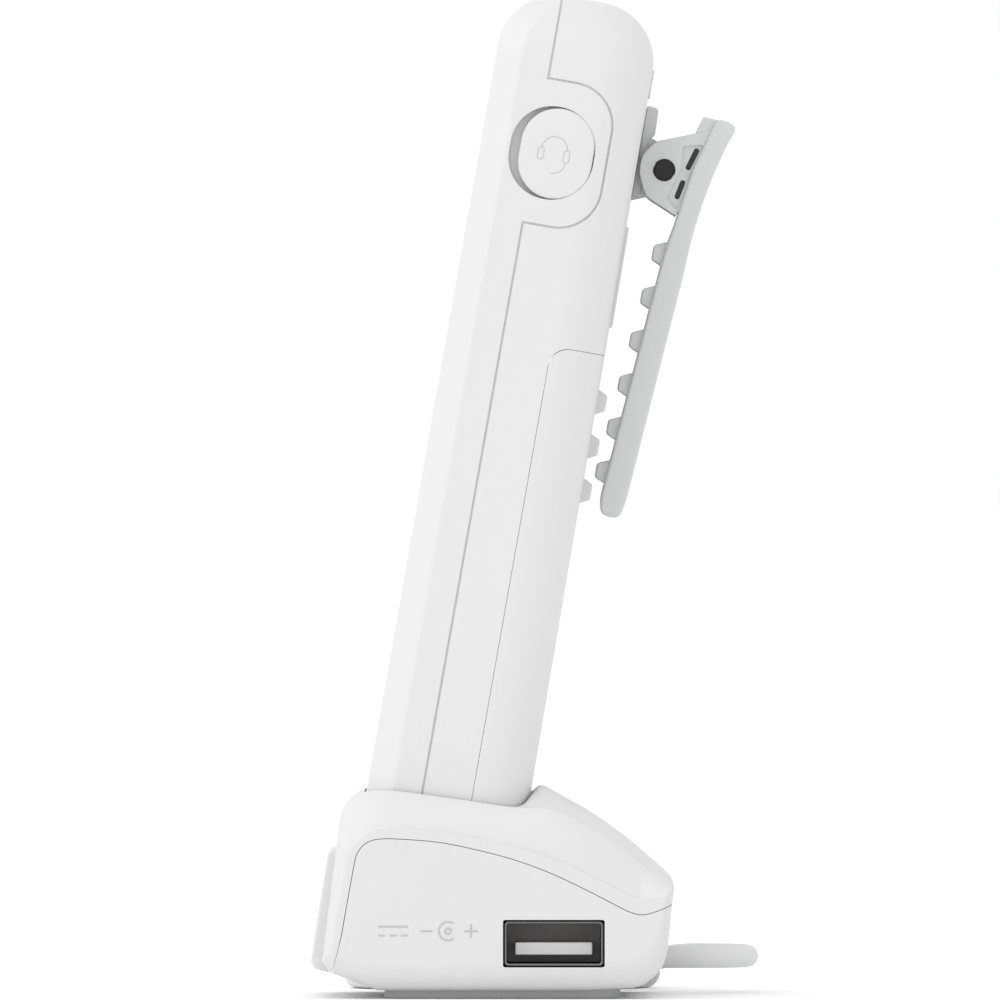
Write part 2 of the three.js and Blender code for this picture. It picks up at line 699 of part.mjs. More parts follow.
// The pocket's mouth at the front and at the back, on the handset's faces at the cradle's top.
const mouth = (y) => new THREE.Vector3(0, y, 0).applyMatrix4(handsetFrame);
const rise = (cradle.height - body.footZ) * Math.tan(LEAN);
const frontY = mouth(frontAt(0)).y - cradle.fit - cradle.frontWall;
const lipY = mouth(backAt(0)).y + rise + 1.3;
const rearY = cradle.rear;
const topZ = cradle.height;
const noseY = frontY - 2.1;

// The cradle seen from its side, anticlockwise from the front of its underside.
function cradleOutline() {
  const shape = new THREE.Shape();
  shape.moveTo(noseY + 7.5, cradle.under);
  shape.lineTo(rearY - 7.3, cradle.under);
  shape.lineTo(rearY - 4.3, cradle.under + 0.9);
  shape.quadraticCurveTo(rearY - 1.3, cradle.under + 1.8, rearY - 0.8, 7.4);
  shape.lineTo(rearY, 14);
  shape.quadraticCurveTo(rearY + 0.2, 16.2, rearY - 1, topZ - 11.6);
  shape.lineTo(rearY - 8.5, topZ - 5.2);
  shape.quadraticCurveTo((rearY + lipY) / 2 - 1, topZ - 2.5, lipY, topZ);
  shape.lineTo(lipY - 2.4, topZ - 2.5);
  shape.lineTo(frontY + 7.4, topZ - 0.2);
  shape.lineTo(frontY + 4.2, topZ - 0.3);
  shape.quadraticCurveTo(frontY + 0.4, topZ - 2, frontY, topZ - 7.5);
  shape.lineTo(noseY, 5);
  shape.lineTo(noseY + 1.2, 3.5);
  return shape;
}

// What lies under the shells' seam, which climbs the front and falls along the side.
function tubRegion(grow) {
  const shape = new THREE.Shape();
  const down = -FAR;
  shape.moveTo(noseY + 1.4 - grow, down);
  shape.lineTo(FAR, down);
  shape.lineTo(FAR, 12.7 + grow);
  shape.lineTo(rearY - 0.3, 12.7 + grow);
  shape.quadraticCurveTo(rearY - 3.8, 10 + grow, rearY - 6.5, 12.1 + grow);
  shape.lineTo(rearY - 11.8, 14.8 + grow);
  shape.quadraticCurveTo(rearY - 26, 21.2 + grow, frontY + 6, 21.6 + grow);
  shape.quadraticCurveTo(frontY + 2.6 - grow, 21.7 + grow, frontY + 2.3 - grow, 18);
  shape.lineTo(noseY + 1.4 - grow, 3.5);
  return acrossX(shape, -FAR, FAR);
}

// The cradle's outside: its side, its plan with round corners and its front with sloped flanks.
function cradleEnvelope() {
  const side = acrossX(cradleOutline(), -baseHalf, baseHalf);
  const middle = (noseY + rearY) / 2;
  const plan = new THREE.ExtrudeGeometry(
    roundedShape(0, middle, 2 * baseHalf, rearY - noseY + 0.6, 5),
    { depth: FAR, bevelEnabled: false, curveSegments: 4 },
  );
  const flank = polygon([
    [-baseHalf, -1],
    [baseHalf, -1],
    [baseHalf, 16],
    [baseHalf - 2.6, topZ + 1],
    [2.6 - baseHalf, topZ + 1],
    [-baseHalf, 16],
  ]);
  return side.intersect(solid(plan)).intersect(alongY(flank, -FAR, FAR));
}

function makeCradleShells() {
  const outside = cradleEnvelope();
  const roomX = baseHalf - cradle.wall;
  const inFrame = (grow) => solid(handsetEnvelope(grow).applyMatrix4(handsetFrame));
  const pocket = inFrame(cradle.fit);
  const cup = inFrame(cradle.fit + cradle.cup);
  const room = new THREE.Shape();
  room.moveTo(noseY + 3.6, cradle.under + cradle.floor);
  room.lineTo(rearY - 4.4, cradle.under + cradle.floor);
  room.lineTo(rearY - 2.6, 6.4);
  room.lineTo(rearY - cradle.wall - 0.6, topZ - 13.6);
  room.lineTo(rearY - 10, topZ - 7.4);
  room.lineTo(lipY + 0.5, topZ - 2.8);
  room.lineTo(frontY + 6, topZ - 2.8);
  room.lineTo(frontY + cradle.wall, topZ - 7.5);
  const hollow = acrossX(room, -roomX, roomX);
  const pins = pinPlaces.map(([x, y, z]) => {
    const low = new THREE.Vector3(x, y, z - 14).applyMatrix4(handsetFrame).toArray();
    const high = new THREE.Vector3(x, y, z + 14).applyMatrix4(handsetFrame).toArray();
    return rod(pin.radius + GAP, low, high, 14);
  });
  const bosses = screwPlaces.map(([x, y]) => {
    return rod(2.6, [x, y, 7 + GAP], [x, y, topZ - 8.5]).intersect(outside);
  });
  const threads = screwPlaces.map(([x, y]) => rod(1.5, [x, y, 0], [x, y, 13.4], 12));
  const shell = cut(outside, hollow, tubRegion(GAP));
  const cowl = cut(join(shell, cup.intersect(outside), ...bosses), pocket, ...pins, ...threads);
  part(cradleGroup, "base_cowl", cowl, white);

  const tubRoom = new THREE.Shape();
  tubRoom.moveTo(noseY + 5.2, cradle.under + cradle.floor);
  tubRoom.lineTo(rearY - 4.4, cradle.under + cradle.floor);
  tubRoom.lineTo(rearY - 2.6, 6.4);
  tubRoom.lineTo(rearY - cradle.wall - 0.4, FAR);
  tubRoom.lineTo(frontY + 4.6, FAR);
  const tubHollow = acrossX(tubRoom, -roomX, roomX);
  const posts = screwPlaces.map(([x, y]) => rod(3.1, [x, y, cradle.under + 0.5], [x, y, 7]));
  const heads = screwPlaces.map(([x, y]) => rod(2.5, [x, y, -1], [x, y, 4.6], 14));
  const portHole = block(
    [baseHalf - 3, port.y - port.width / 2 - GAP, port.z - port.height / 2 - GAP],
    [baseHalf + 1, port.y + port.width / 2 + GAP, port.z + port.height / 2 + GAP],
  );
  const onCord = (y) => [cord.exitX, y, cord.exitZ];
  const cordHole = join(
    rod(grommet.radius + GAP, onCord(0), onCord(FAR)),
    rod(grommet.flange + GAP, onCord(0), onCord(rearY - 3.4 + GAP)),
  );
  const shellTub = join(cut(outside.intersect(tubRegion(0)), tubHollow), ...posts);
  const grownCup = inFrame(cradle.fit + cradle.cup + GAP);
  const tub = cut(shellTub, grownCup, ...heads, ...threads, portHole, cordHole);
  part(cradleGroup, "base_tub", tub, white);
}

function makeFrontPanel() {
  const slope = (z) => THREE.MathUtils.mapLinear(z, 5, topZ - 7.5, noseY, frontY);
  const outline = [
    [slope(20) - GAP, 20],
    [slope(20) - 1.15, 20],
    [slope(12.4) - 1.2, 12.4],
    [slope(5.3) - 1.6, 5.3],
    [slope(5) - GAP, 4.9],
  ];
  const panelHalf = baseHalf - 6;
  part(cradleGroup, "base_front_panel", acrossX(polygon(outline), -panelHalf, panelHalf), satinWhite);
}

function makeUnderside() {
  for (const [side, sign] of [["left", -1], ["right", 1]]) {
    const outline = roundedShape(sign * (baseHalf - 11.5), (noseY + rearY) / 2 + 0.6, 13, 31.8, 3);
    const pad = new THREE.ExtrudeGeometry(outline, {
      depth: cradle.pad,
      bevelEnabled: false,
      curveSegments: 3,
    });
    part(cradleGroup, "base_pad_" + side, solid(pad), rubber);
  }
  screwPlaces.forEach(([x, y], i) => {
    const head = rod(2.2, [x, y, 3], [x, y, 4.3], 14);
    const shank = rod(1.2, [x, y, 4.2], [x, y, 13], 12);
    part(cradleGroup, "base_screw_" + (i ? "right" : "left"), join(head, shank), steel);
  });
}

function makePort() {
  const [low, high] = [port.z - port.height / 2, port.z + port.height / 2];
  const [front, back] = [port.y - port.width / 2, port.y + port.width / 2];
  const inner = baseHalf - port.depth;
  const sheet = port.sheet;
  const outside = block([inner, front, low], [baseHalf, back, high]);
  const inside = block(
    [inner + 1, front + sheet, low + sheet],
    [baseHalf + 1, back - sheet, high - sheet],
  );
  part(cradleGroup, "usb_port_shell", cut(outside, inside), steel);
  const tongue = block(
    [inner + 1 + GAP, port.y - 5.2, low + 1.4],
    [baseHalf - 1, port.y + 5.2, low + 3.1],
  );
  part(cradleGroup, "usb_port_tongue", tongue, satinWhite);
}

function makeBoard() {
  const low = cradle.under + cradle.floor + GAP;
  const board = block([-18, noseY + 8, low], [20, rearY - 9.5, low + 1]);
  part(cradleGroup, "base_circuit_board", board, boardGreen);
}

function makeGrommet() {
  const at = (y) => [cord.exitX, y, cord.exitZ];
  const neck = rod(grommet.radius, at(rearY - 4), at(rearY - 0.9), 16);
  const flange = rod(grommet.flange, at(rearY - 4.6), at(rearY - 3.4), 16);
  const bore = rod(cord.diameter / 2 + GAP, at(0), at(FAR), 12);
  part(cradleGroup, "cord_grommet", cut(join(neck, flange), bore), cordGrey);
}

// The sprung charging pins stand up through the pocket's floor into the handset's foot.
function makePins() {
  pinPlaces.forEach(([x, y, z], i) => {
    const shank = rod(pin.radius, [x, y, z - pin.length], [x, y, z], 14);
    const collar = rod(pin.collar, [x, y, pinCollarZ - 0.8], [x, y, pinCollarZ], 14);
    part(pinGroup, "charge_pin_" + (i ? "right" : "left"), join(shank, collar), gold);
  });
}

// ---------------------------------------------------------------- the power cord
// The coil's outline, a ring on the table, and the tie round one side of it.
function makeCoil() {
  const { diameter, midRadius, layers, x, y } = cord;
  const reach = (layers * diameter) / 2 + 0.2;
  const height = layers * diameter + 0.2;
  const [inner, outer] = [midRadius - reach, midRadius + reach];
  const profile = [[inner, 0], [outer, 0], [outer, height], [inner, height], [inner, 0]];
  const points = profile.map(([a, b]) => new THREE.Vector2(a, b));
  const lathe = new THREE.LatheGeometry(points, 28).rotateX(Math.PI / 2);
  const ring = solid(lathe.translate(x, y, 0));
  const sheet = 0.8;
  const band = (grow) => {
    const low = [x - 2 - grow, y + inner - GAP - sheet - grow, -grow];
    const high = [x + 2 + grow, y + outer + GAP + sheet + grow, height + GAP + sheet + grow];
    const room = [
      [x - FAR, y + inner - GAP + grow, sheet + grow],
      [x + FAR, y + outer + GAP - grow, height + GAP - grow],
    ];
    return cut(block(low, high), block(...room));
  };
  const under = block([x - 2 - GAP, y, -1], [x + 2 + GAP, y + FAR, sheet + GAP]);
  part(cradleGroup, "cord_coil", cut(ring, under), cordGrey);
  part(cradleGroup, "cord_tie", band(0), black);
}

function makeCord() {
  part(cradleGroup, "cord_lead", tube(LEAD_ROUTE, cord.diameter / 2, 20), cordGrey);
  part(cradleGroup, "cord_tail", tube(TAIL_ROUTE, cord.diameter / 2, 9), cordGrey);
  const z = cord.layers * cord.diameter + 0.2 + GAP + plug.thick / 2 + 0.1;
  const end = plug.x - plug.length;
  const low = [end, plug.y - plug.width / 2, z - plug.thick / 2];
  const high = [plug.x, plug.y + plug.width / 2, z + plug.thick / 2];
  part(cradleGroup, "plug_body", block(low, high), cordGrey);
  const shellAt = (x, grow) => [
    [x - plugShell.length, plug.y - plugShell.width / 2 - grow, z - plugShell.thick / 2 - grow],
    [x, plug.y + plugShell.width / 2 + grow, z + plugShell.thick / 2 + grow],
  ];
  const outside = block(...shellAt(end - GAP, 0));
  const inside = block(...shellAt(end - GAP - 1, -plugShell.sheet));
  part(cradleGroup, "plug_shell", cut(outside, inside), steel);
}

const grommet = { radius: 2.4, flange: 2.9 };
const pin = { radius: 1.1, collar: 1.9, length: 6 };
const pinPlaces = contactPlaces.map((x) => [x, 0, 0.7]);
const pinCollarZ = -cradle.fit - cradle.cup - GAP;
const screwPlaces = [-1, 1].map((sign) => [sign * (baseHalf - 7), rearY - 5.8]);
const pinGroup = new THREE.Group();
pinGroup.applyMatrix4(handsetFrame);

makeCradleShells();
makeFrontPanel();
makeUnderside();
makePort();
makeBoard();
makeGrommet();
makePins();
makeCoil();
makeCord();

const phone = new THREE.Group();
phone.add(cradleGroup, pinGroup, handset);
export default phone;
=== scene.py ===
"""Looks of a cordless phone that stands in its charging cradle, with a belt clip on its back.

Lengths in the tables are millimetres and become metres where a mesh is made. A handset piece is
worked out in the handset's own frame, with z up its length from its foot and y towards its back,
and is then stood up in the cradle.
"""

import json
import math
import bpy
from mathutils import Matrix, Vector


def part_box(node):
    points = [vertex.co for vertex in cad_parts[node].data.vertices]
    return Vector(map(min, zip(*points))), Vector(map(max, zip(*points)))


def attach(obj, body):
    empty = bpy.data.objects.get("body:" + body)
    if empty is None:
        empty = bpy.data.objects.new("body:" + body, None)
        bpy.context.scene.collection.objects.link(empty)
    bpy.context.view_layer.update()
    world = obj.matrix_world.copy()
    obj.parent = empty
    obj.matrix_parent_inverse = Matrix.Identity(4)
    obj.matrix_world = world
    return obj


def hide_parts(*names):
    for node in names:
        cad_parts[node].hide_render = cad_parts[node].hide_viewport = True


bl_info = {
    "name": "Cordless Phone Looks",
    "version": (1, 0, 0),
    "blender": (4, 5, 0),
    "location": "View3D > Sidebar > Phone",
    "description": "Builds the shells, keys, clip, cord and finishes of a phone in its cradle",
    "category": "Object",
}

import bpy
import numpy as np
from mathutils import Vector

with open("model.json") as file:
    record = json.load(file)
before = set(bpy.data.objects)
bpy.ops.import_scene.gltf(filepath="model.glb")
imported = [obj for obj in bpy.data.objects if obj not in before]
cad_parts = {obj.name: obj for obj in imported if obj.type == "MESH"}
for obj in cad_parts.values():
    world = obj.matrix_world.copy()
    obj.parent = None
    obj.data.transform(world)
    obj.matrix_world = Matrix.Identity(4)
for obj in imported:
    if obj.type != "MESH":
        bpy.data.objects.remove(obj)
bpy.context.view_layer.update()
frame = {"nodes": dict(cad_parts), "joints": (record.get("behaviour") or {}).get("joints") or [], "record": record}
JOINTS = {joint["name"]: joint for joint in frame["joints"]}

FINISHES = {}  # materials by name
MM = 0.001
FAR = 60.0  # past every piece, for the blocks that cut or keep a share of one
RISE = np.array(JOINTS["handset_lift"]["axis"], float)
BACK = np.array([0.0, RISE[2], -RISE[1]])
FOOT = np.array([0.0, -12.4, 14.6])
PIVOT = np.array(JOINTS["belt_clip_hinge"]["pos_m"], float) / MM

# The handset, in its own frame.
WIDTH, LENGTH = 48.0, 122.0
FOOT_DEPTH, HEAD_DEPTH = 22.0, 20.2
HALF = WIDTH / 2
SIDES = ("left", "right")
WALL = 1.8
FACE_SUNK = 0.7
FACE_Y = FACE_SUNK - FOOT_DEPTH / 2
FACE_HALF, FACE_FOOT, FACE_HEAD = 19.6, 15.8, LENGTH - 5.2
FOOT_ROUND, SIDE_ROUND, HEAD_ROUND, BACK_ROUND = 2.5, 10, 8, 7
BAND = 3.3  # the slanted band between the front and the sides
SEAM = 7.3 - FOOT_DEPTH / 2
COVER_SEAM = 14.2 - FOOT_DEPTH / 2
PIVOT_Z = float((PIVOT - FOOT) @ RISE)
PIVOT_Y = float((PIVOT - FOOT) @ BACK)
COVER_TOP = PIVOT_Z - 26.2
COVER_FOOT = 6.0
JACK_Y, JACK_Z = -0.7, LENGTH - 21.3
JACK_SIZE = (10.0, 12.3)
JACK_ROUND = 5.6
RIB_PITCH = 6.08
CLIP_HALF, PIN_RADIUS = 10.0, 1.45
ROCKER_Y, ROCKER_Z = 0.2, COVER_TOP + 17
REVEAL = 0.3  # open groove between the front and rear housings, and its depth
HAIR = 0.03  # half of a closed seam

# The keypad.
FIRST_ROW, ROW, COLUMN = 24, 8.5, 13.6
KEY_SIZE, CALL_SIZE, SOFT_SIZE = (10.6, 6.0), (8.4, 8.0), (8.4, 6.0)
KEY_GAP = 0.2  # round each key
KEY_LIP = 0.8  # how far a key's lip stands out, and its thickness
KEY_BACK = WALL + 0.3 - FACE_SUNK  # from the sunk face back to a lip
LEGEND_OUT, BOW_OUT, DASH_OUT = 0.585, 0.38, 0.46  # the keys' marks, out from the sunk face
NAV_Z = FIRST_ROW + 3 * ROW + 15.5
NAV_HOLE, OK_RADIUS = 9.2, 4.0
DISPLAY = (NAV_Z + 13, LENGTH - 13)

# The cradle, in the row's frame.
CRADLE_HALF = 29.0
RIM_IN, MIDDLE_IN = 3.6, 7  # from the flank in to the rim, and on to the middle's outline
POCKET_GAP, CUP_WALL = 0.3, 1.6
BOTTOM_POINTS, REAR_POINTS, TOP_POINTS, FRONT_POINTS = 8, 16, 90, 10
TOP_MIDDLE, TOP_SHARE = BOTTOM_POINTS + REAR_POINTS + TOP_POINTS // 2 - 2, 38
PORT_Y, PORT_Z = 4.05, 7.5

# The power cord: the frame's route, except that the lead stays level a little longer.
LEAD_ROUTE = [
    (-12, 19.7, 5), (-12, 22.5, 5), (-12.3, 24.6, 5), (-13.1, 26.5, 5), (-14.3, 28.2, 5),
    (-16, 29.4, 5), (-17.9, 30.2, 5), (-20, 30.5, 5), (-23, 30.5, 5), (-26, 30.5, 5),
    (-28.9, 30.1, 5), (-31.5, 29, 5), (-33.8, 27.3, 5), (-35.5, 25, 5), (-36.6, 22.3, 4.95),
    (-37, 19.5, 4.6), (-37, 16, 3.6), (-37, 12, 2.3), (-37, 8.4, 1.65),
]
TAIL_ROUTE = [
    (-39, 5.5, 14.1), (-38.9, 2.8, 14.1), (-39.3, 0.2, 14.2), (-40.3, -2.4, 14.5),
    (-42, -4.6, 15), (-44.4, -6.2, 15.6), (-47.2, -7, 16.1), (-50, -7.2, 16.4),
]
CORD_RADIUS = 1.5
CORD_X, CORD_Z = -12, 5
GROMMET_RADIUS = 2.4
COIL_CENTRE = (-56.5, -3.5)
COIL_RADII = (19.5, 16.5, 13.5, 10.5)
COIL_TURNS, COIL_FOOT = 15, 1.55  # and the height of the lowest turns
PLUG_END = (17.5, 9)  # where the cord leaves the coil for the plug, from the coil's centre
PLUG_HEIGHT = 14.1


# ---------------------------------------------------------------- curves and outlines
def depth_at(z):
    """Front-to-back depth of the handset, which falls evenly from its foot to its head."""
    return FOOT_DEPTH + (HEAD_DEPTH - FOOT_DEPTH) * np.asarray(z, float) / LENGTH


def fillet(corners, radii, steps=6):
    """A closed outline with round corners. At a corner p with unit ways a and b to its
    neighbours and half their angle h, the arc's centre is p + (a + b)/|a + b| * r/sin(h)."""
    p = np.asarray(corners, float)
    r = np.maximum(np.broadcast_to(np.asarray(radii, float), p.shape[:-1]), 1e-4)[..., None]
    a = np.roll(p, 1, -2) - p
    b = np.roll(p, -1, -2) - p
    a /= np.linalg.norm(a, axis=-1, keepdims=True)
    b /= np.linalg.norm(b, axis=-1, keepdims=True)
    h = np.arccos(np.clip((a * b).sum(-1, keepdims=True), -1, 1)) / 2
    way = a + b
    centre = p + way / np.linalg.norm(way, axis=-1, keepdims=True) * r / np.sin(h)
    start = p + a * r / np.tan(h) - centre
    end = p + b * r / np.tan(h) - centre
    turn = math.pi - 2 * h
    s = np.linspace(0, 1, steps + 1)[:, None]
    start, end, centre, turn = (v[..., None, :] for v in (start, end, centre, turn))
    arc = centre + (np.sin((1 - s) * turn) * start + np.sin(s * turn) * end) / np.sin(turn)
    return arc.reshape(*p.shape[:-2], -1, 2)


def rounded(a, b, width, height, radius, steps=8):
    """A rectangle about (a, b) with round corners, anticlockwise."""
    x, y = width / 2, height / 2
    r = min(radius, x - 1e-3, y - 1e-3)
    corners = [(a - x, b - y), (a + x, b - y), (a + x, b + y), (a - x, b + y)]
    return fillet(corners, r, steps)


def circle(a, b, radius, count=48):
    """Points evenly round a circle about (a, b)."""
    t = np.linspace(0, 2 * math.pi, count, endpoint=False)
    return np.stack([a + radius * np.cos(t), b + radius * np.sin(t)], -1)


def eased(t):
    """A share cut to 0..1 and eased at both ends: 3 t^2 - 2 t^3."""
    t = np.clip(t, 0, 1)
    return t * t * (3 - 2 * t)


def smooth(points, count):
    """A Catmull-Rom curve through the points, at evenly spaced parameters."""
    p = np.asarray(points, float)
    p = np.vstack([2 * p[0] - p[1], p, 2 * p[-1] - p[-2]])
    t = np.linspace(0, len(p) - 3 - 1e-9, count)
    i = t.astype(int)
    f = (t - i)[:, None]
    a, b, c, d = (p[i + k] for k in range(4))
    return 0.5 * (2 * b + (c - a) * f + (2 * a - 5 * b + 4 * c - d) * f**2
                  + (3 * b - a - 3 * c + d) * f**3)


# ---------------------------------------------------------------- meshes
def stand(points):
    """Handset-frame millimetres to row-frame metres."""
    p = np.asarray(points, float)
    return (FOOT + p[..., :1] * [1, 0, 0] + p[..., 1:2] * BACK + p[..., 2:] * RISE) * MM


def level(points):
    """Row-frame millimetres to metres."""
    return np.asarray(points, float) * MM


def lay(outline, at, axis):
    """An outline's points in space, with the coordinate that it lacks put in at `axis`."""
    return np.insert(np.asarray(outline, float), axis, at, axis=1)


def cad_box(node):
    """The lowest and highest corners of a CAD node, in millimetres."""
    return (np.array(corner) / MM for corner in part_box(node))


def grid_faces(rows, columns):
    """Quads between neighbouring rows, each row's last point joined to its first."""
    r, c = np.meshgrid(np.arange(rows - 1), np.arange(columns), indexing="ij")
    n = (c + 1) % columns
    quads = [r * columns + c, r * columns + n, (r + 1) * columns + n, (r + 1) * columns + c]
    return np.stack(quads, -1).reshape(-1, 4).tolist()


def points_of(mesh):
    """A mesh's points as rows of three."""
    co = np.empty(len(mesh.vertices) * 3)
    mesh.vertices.foreach_get("co", co)
    return co.reshape(-1, 3)


def outward(mesh):
    """Turns a closed mesh's faces outwards, by the sign of its volume."""
    mesh.calc_loop_triangles()
    tri = np.empty(len(mesh.loop_triangles) * 3, int)
    mesh.loop_triangles.foreach_get("vertices", tri)
    a, b, c = points_of(mesh)[tri.reshape(-1, 3)].transpose(1, 0, 2)
    if np.einsum("ij,ij->", a, np.cross(b, c)) < 0:
        mesh.flip_normals()


def put(name, data):
    """A new object in the scene."""
    piece = bpy.data.objects.new(name, data)
    bpy.context.scene.collection.objects.link(piece)
    return piece


def settled(piece):
    """A piece's mesh as its modifiers or its curve leave it."""
    seen = piece.evaluated_get(bpy.context.evaluated_depsgraph_get())
    return bpy.data.meshes.new_from_object(seen)


def add_mesh(name, points, faces):
    """A new object with its place in its mesh."""
    mesh = bpy.data.meshes.new(name)
    mesh.from_pydata(np.asarray(points, float).reshape(-1, 3).tolist(), [], faces)
    mesh.validate()
    mesh.update()
    outward(mesh)
    return put(name, mesh)


def loft(name, grid, place):
    """A closed skin over rings of points (rows, columns, 3), with flat ends."""
    rows, columns = grid.shape[:2]
    faces = grid_faces(rows, columns)
    faces.append(list(range(columns))[::-1])
    faces.append([(rows - 1) * columns + i for i in range(columns)])
    return add_mesh(name, place(grid), faces)


def torus_like(name, sections, place):
    """A closed skin whose last ring meets its first: an outline carried round a loop."""
    rows, columns = sections.shape[:2]
    faces = (np.array(grid_faces(rows + 1, columns)) % (rows * columns)).tolist()
    return add_mesh(name, place(sections), faces)


def inset(outline, depth):
    """An outline drawn in by a depth, each point along the way between its sides' normals."""
    ahead = np.roll(outline, -1, 0) - np.roll(outline, 1, 0)
    way = np.stack([-ahead[:, 1], ahead[:, 0]], -1) / np.linalg.norm(ahead, axis=1)[:, None]
    after = np.roll(outline, -1, 0)
    area = (outline[:, 0] * after[:, 1] - outline[:, 1] * after[:, 0]).sum()
    return outline + depth * math.copysign(1, area) * way


def across(name, outline, x0, x1, place=stand, ease=0.0):
    """A side outline (y, z) carried from x0 to x1, its ends rounded by quarter circles."""
    outline = np.asarray(outline, float)
    t = np.linspace(0, math.pi / 2, 4) if ease else np.array([math.pi / 2])
    near = [(x0 + ease * (1 - math.cos(a)), ease * (1 - math.sin(a))) for a in t]
    rows = near + [(x0 + x1 - x, depth) for x, depth in near[::-1]]
    return loft(name, np.stack([lay(inset(outline, depth), x, 0) for x, depth in rows]), place)


def both_sides(name, outline, inner, outer, ease=0.0):
    """A side outline carried from `inner` to `outer` on the left and on the right."""
    return [across(name, outline, *ends, ease=ease) for ends in ((-outer, -inner), (inner, outer))]


def through(name, outline, y0, y1, place=stand):
    """A front outline (x, z) carried from y0 to y1."""
    return loft(name, np.stack([lay(outline, y, 1) for y in (y0, y1)]), place)


def upright(name, outline, z0, z1, place=stand):
    """A plan outline (x, y) carried from z0 to z1."""
    return loft(name, np.stack([lay(outline, z, 2) for z in (z0, z1)]), place)


def tube(path, radius, count, aside=(1.0, 0, 0), closed=False):
    """Rings of points round a path: path + r*(cos t * u + sin t * v), where u and v are square
    to the path and to each other, u by way of the direction `aside`."""
    path = np.asarray(path, float)
    ahead = np.roll(path, -1, 0) - path if closed else np.gradient(path, axis=0)
    ahead /= np.linalg.norm(ahead, axis=1, keepdims=True)
    u = np.cross(ahead, aside)
    flat = np.linalg.norm(u, axis=1) < 0.2
    u[flat] = np.cross(ahead[flat], [0, 1.0, 0])
    u /= np.linalg.norm(u, axis=1, keepdims=True)
    v = np.cross(ahead, u)
    t = np.linspace(0, 2 * math.pi, count, endpoint=False)[None, :, None]
    return path[:, None] + radius * (np.cos(t) * u[:, None] + np.sin(t) * v[:, None])


def carve(piece, others, operation="DIFFERENCE"):
    """Cuts the others out of a piece, joins them to it or keeps what is in them; they go."""
    for other in others:
        step = piece.modifiers.new("carve", "BOOLEAN")
        step.operation = operation
        step.solver = "MANIFOLD"
        step.object = other
    made = settled(piece)
    piece.modifiers.clear()
    if not len(made.polygons):
        raise RuntimeError(piece.name + " has nothing left after carving")
    made.name = piece.name
    piece.data = made
    for other in others:
        bpy.data.objects.remove(other)
    return piece


def dress(piece, body, finish, nodes=(), edge=0.0):
    """Rounds a simple piece's sharp edges, or else keeps them crisp, shades the rest smooth, and
    gives the piece its body and the finish of that name."""
    mesh = piece.data
    angle = math.radians(32)
    mesh.polygons.foreach_set("use_smooth", np.ones(len(mesh.polygons), bool))
    if edge:
        bevel = piece.modifiers.new("edges", "BEVEL")
        bevel.width = edge * MM
        bevel.segments = 2
        bevel.limit_method = "ANGLE"
        bevel.angle_limit = angle
        bevel.use_clamp_overlap = False
    else:
        mesh.set_sharp_from_angle(angle=angle)
    weigh = piece.modifiers.new("shading", "WEIGHTED_NORMAL")
    weigh.mode = "FACE_AREA"
    weigh.keep_sharp = True
    mesh.materials.clear()
    mesh.materials.append(FINISHES[finish])
    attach(piece, body)
    if nodes:
        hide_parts(*nodes)
    return piece


# ---------------------------------------------------------------- finishes
def shader(name):
    """A new material with its node tree, its Principled shader and its object coordinates."""
    material = bpy.data.materials.new(name)
    material.use_nodes = True
    tree = material.node_tree
    principled = tree.nodes["Principled BSDF"]
    coordinates = tree.nodes.new("ShaderNodeTexCoord")
    return material, tree, principled, coordinates.outputs["Object"]


def noise(tree, vector, scale, detail=2.0, stretch=None):
    """Noise on object coordinates, with `scale` cells to the metre."""
    if stretch:
        mapping = tree.nodes.new("ShaderNodeMapping")
        mapping.inputs["Scale"].default_value = stretch
        tree.links.new(vector, mapping.inputs["Vector"])
        vector = mapping.outputs["Vector"]
    node = tree.nodes.new("ShaderNodeTexNoise")
    node.inputs["Scale"].default_value = scale
    node.inputs["Detail"].default_value = detail
    tree.links.new(vector, node.inputs["Vector"])
    return node.outputs["Fac"]


def remap(tree, value, low, high):
    """A 0..1 value carried to low..high."""
    node = tree.nodes.new("ShaderNodeMapRange")
    node.inputs["To Min"].default_value = low
    node.inputs["To Max"].default_value = high
    tree.links.new(value, node.inputs["Value"])
    return node.outputs["Result"]


def two_tones(tree, value, first, second):
    """A colour between two, by a 0..1 value."""
    node = tree.nodes.new("ShaderNodeMix")
    node.data_type = "RGBA"
    tree.links.new(value, node.inputs["Factor"])
    node.inputs[6].default_value = (*first, 1)
    node.inputs[7].default_value = (*second, 1)
    return node.outputs[2]


def tinted(tree, principled, pattern, colour, dark, light):
    """Lets a pattern vary the base colour between a darker and a lighter share of it."""
    colour = np.array(colour[:3])
    tone = two_tones(tree, pattern, colour * dark, np.minimum(colour * light, 1))
    tree.links.new(tone, principled.inputs["Base Color"])


def textured(tree, principled, pattern, roughness, height, strength):
    """Lets a pattern vary the gloss between two values, and raises it by a height."""
    tree.links.new(remap(tree, pattern, *roughness), principled.inputs["Roughness"])
    bump = tree.nodes.new("ShaderNodeBump")
    bump.inputs["Strength"].default_value = strength
    bump.inputs["Distance"].default_value = height * MM
    tree.links.new(pattern, bump.inputs["Height"])
    tree.links.new(bump.outputs["Normal"], principled.inputs["Normal"])


def grained(name, colour, roughness, grain=5200, height=0.012, drift=0.012, metallic=0.0):
    """Moulded or drawn material: fine grain in its surface, and slow drift in its tone."""
    material, tree, principled, place = shader(name)
    tinted(tree, principled, noise(tree, place, 45, 3), colour, 1 - drift, 1 + drift)
    textured(tree, principled, noise(tree, place, grain), (roughness - 0.05, roughness + 0.05),
             height, 0.55)
    principled.inputs["Metallic"].default_value = metallic
    return material


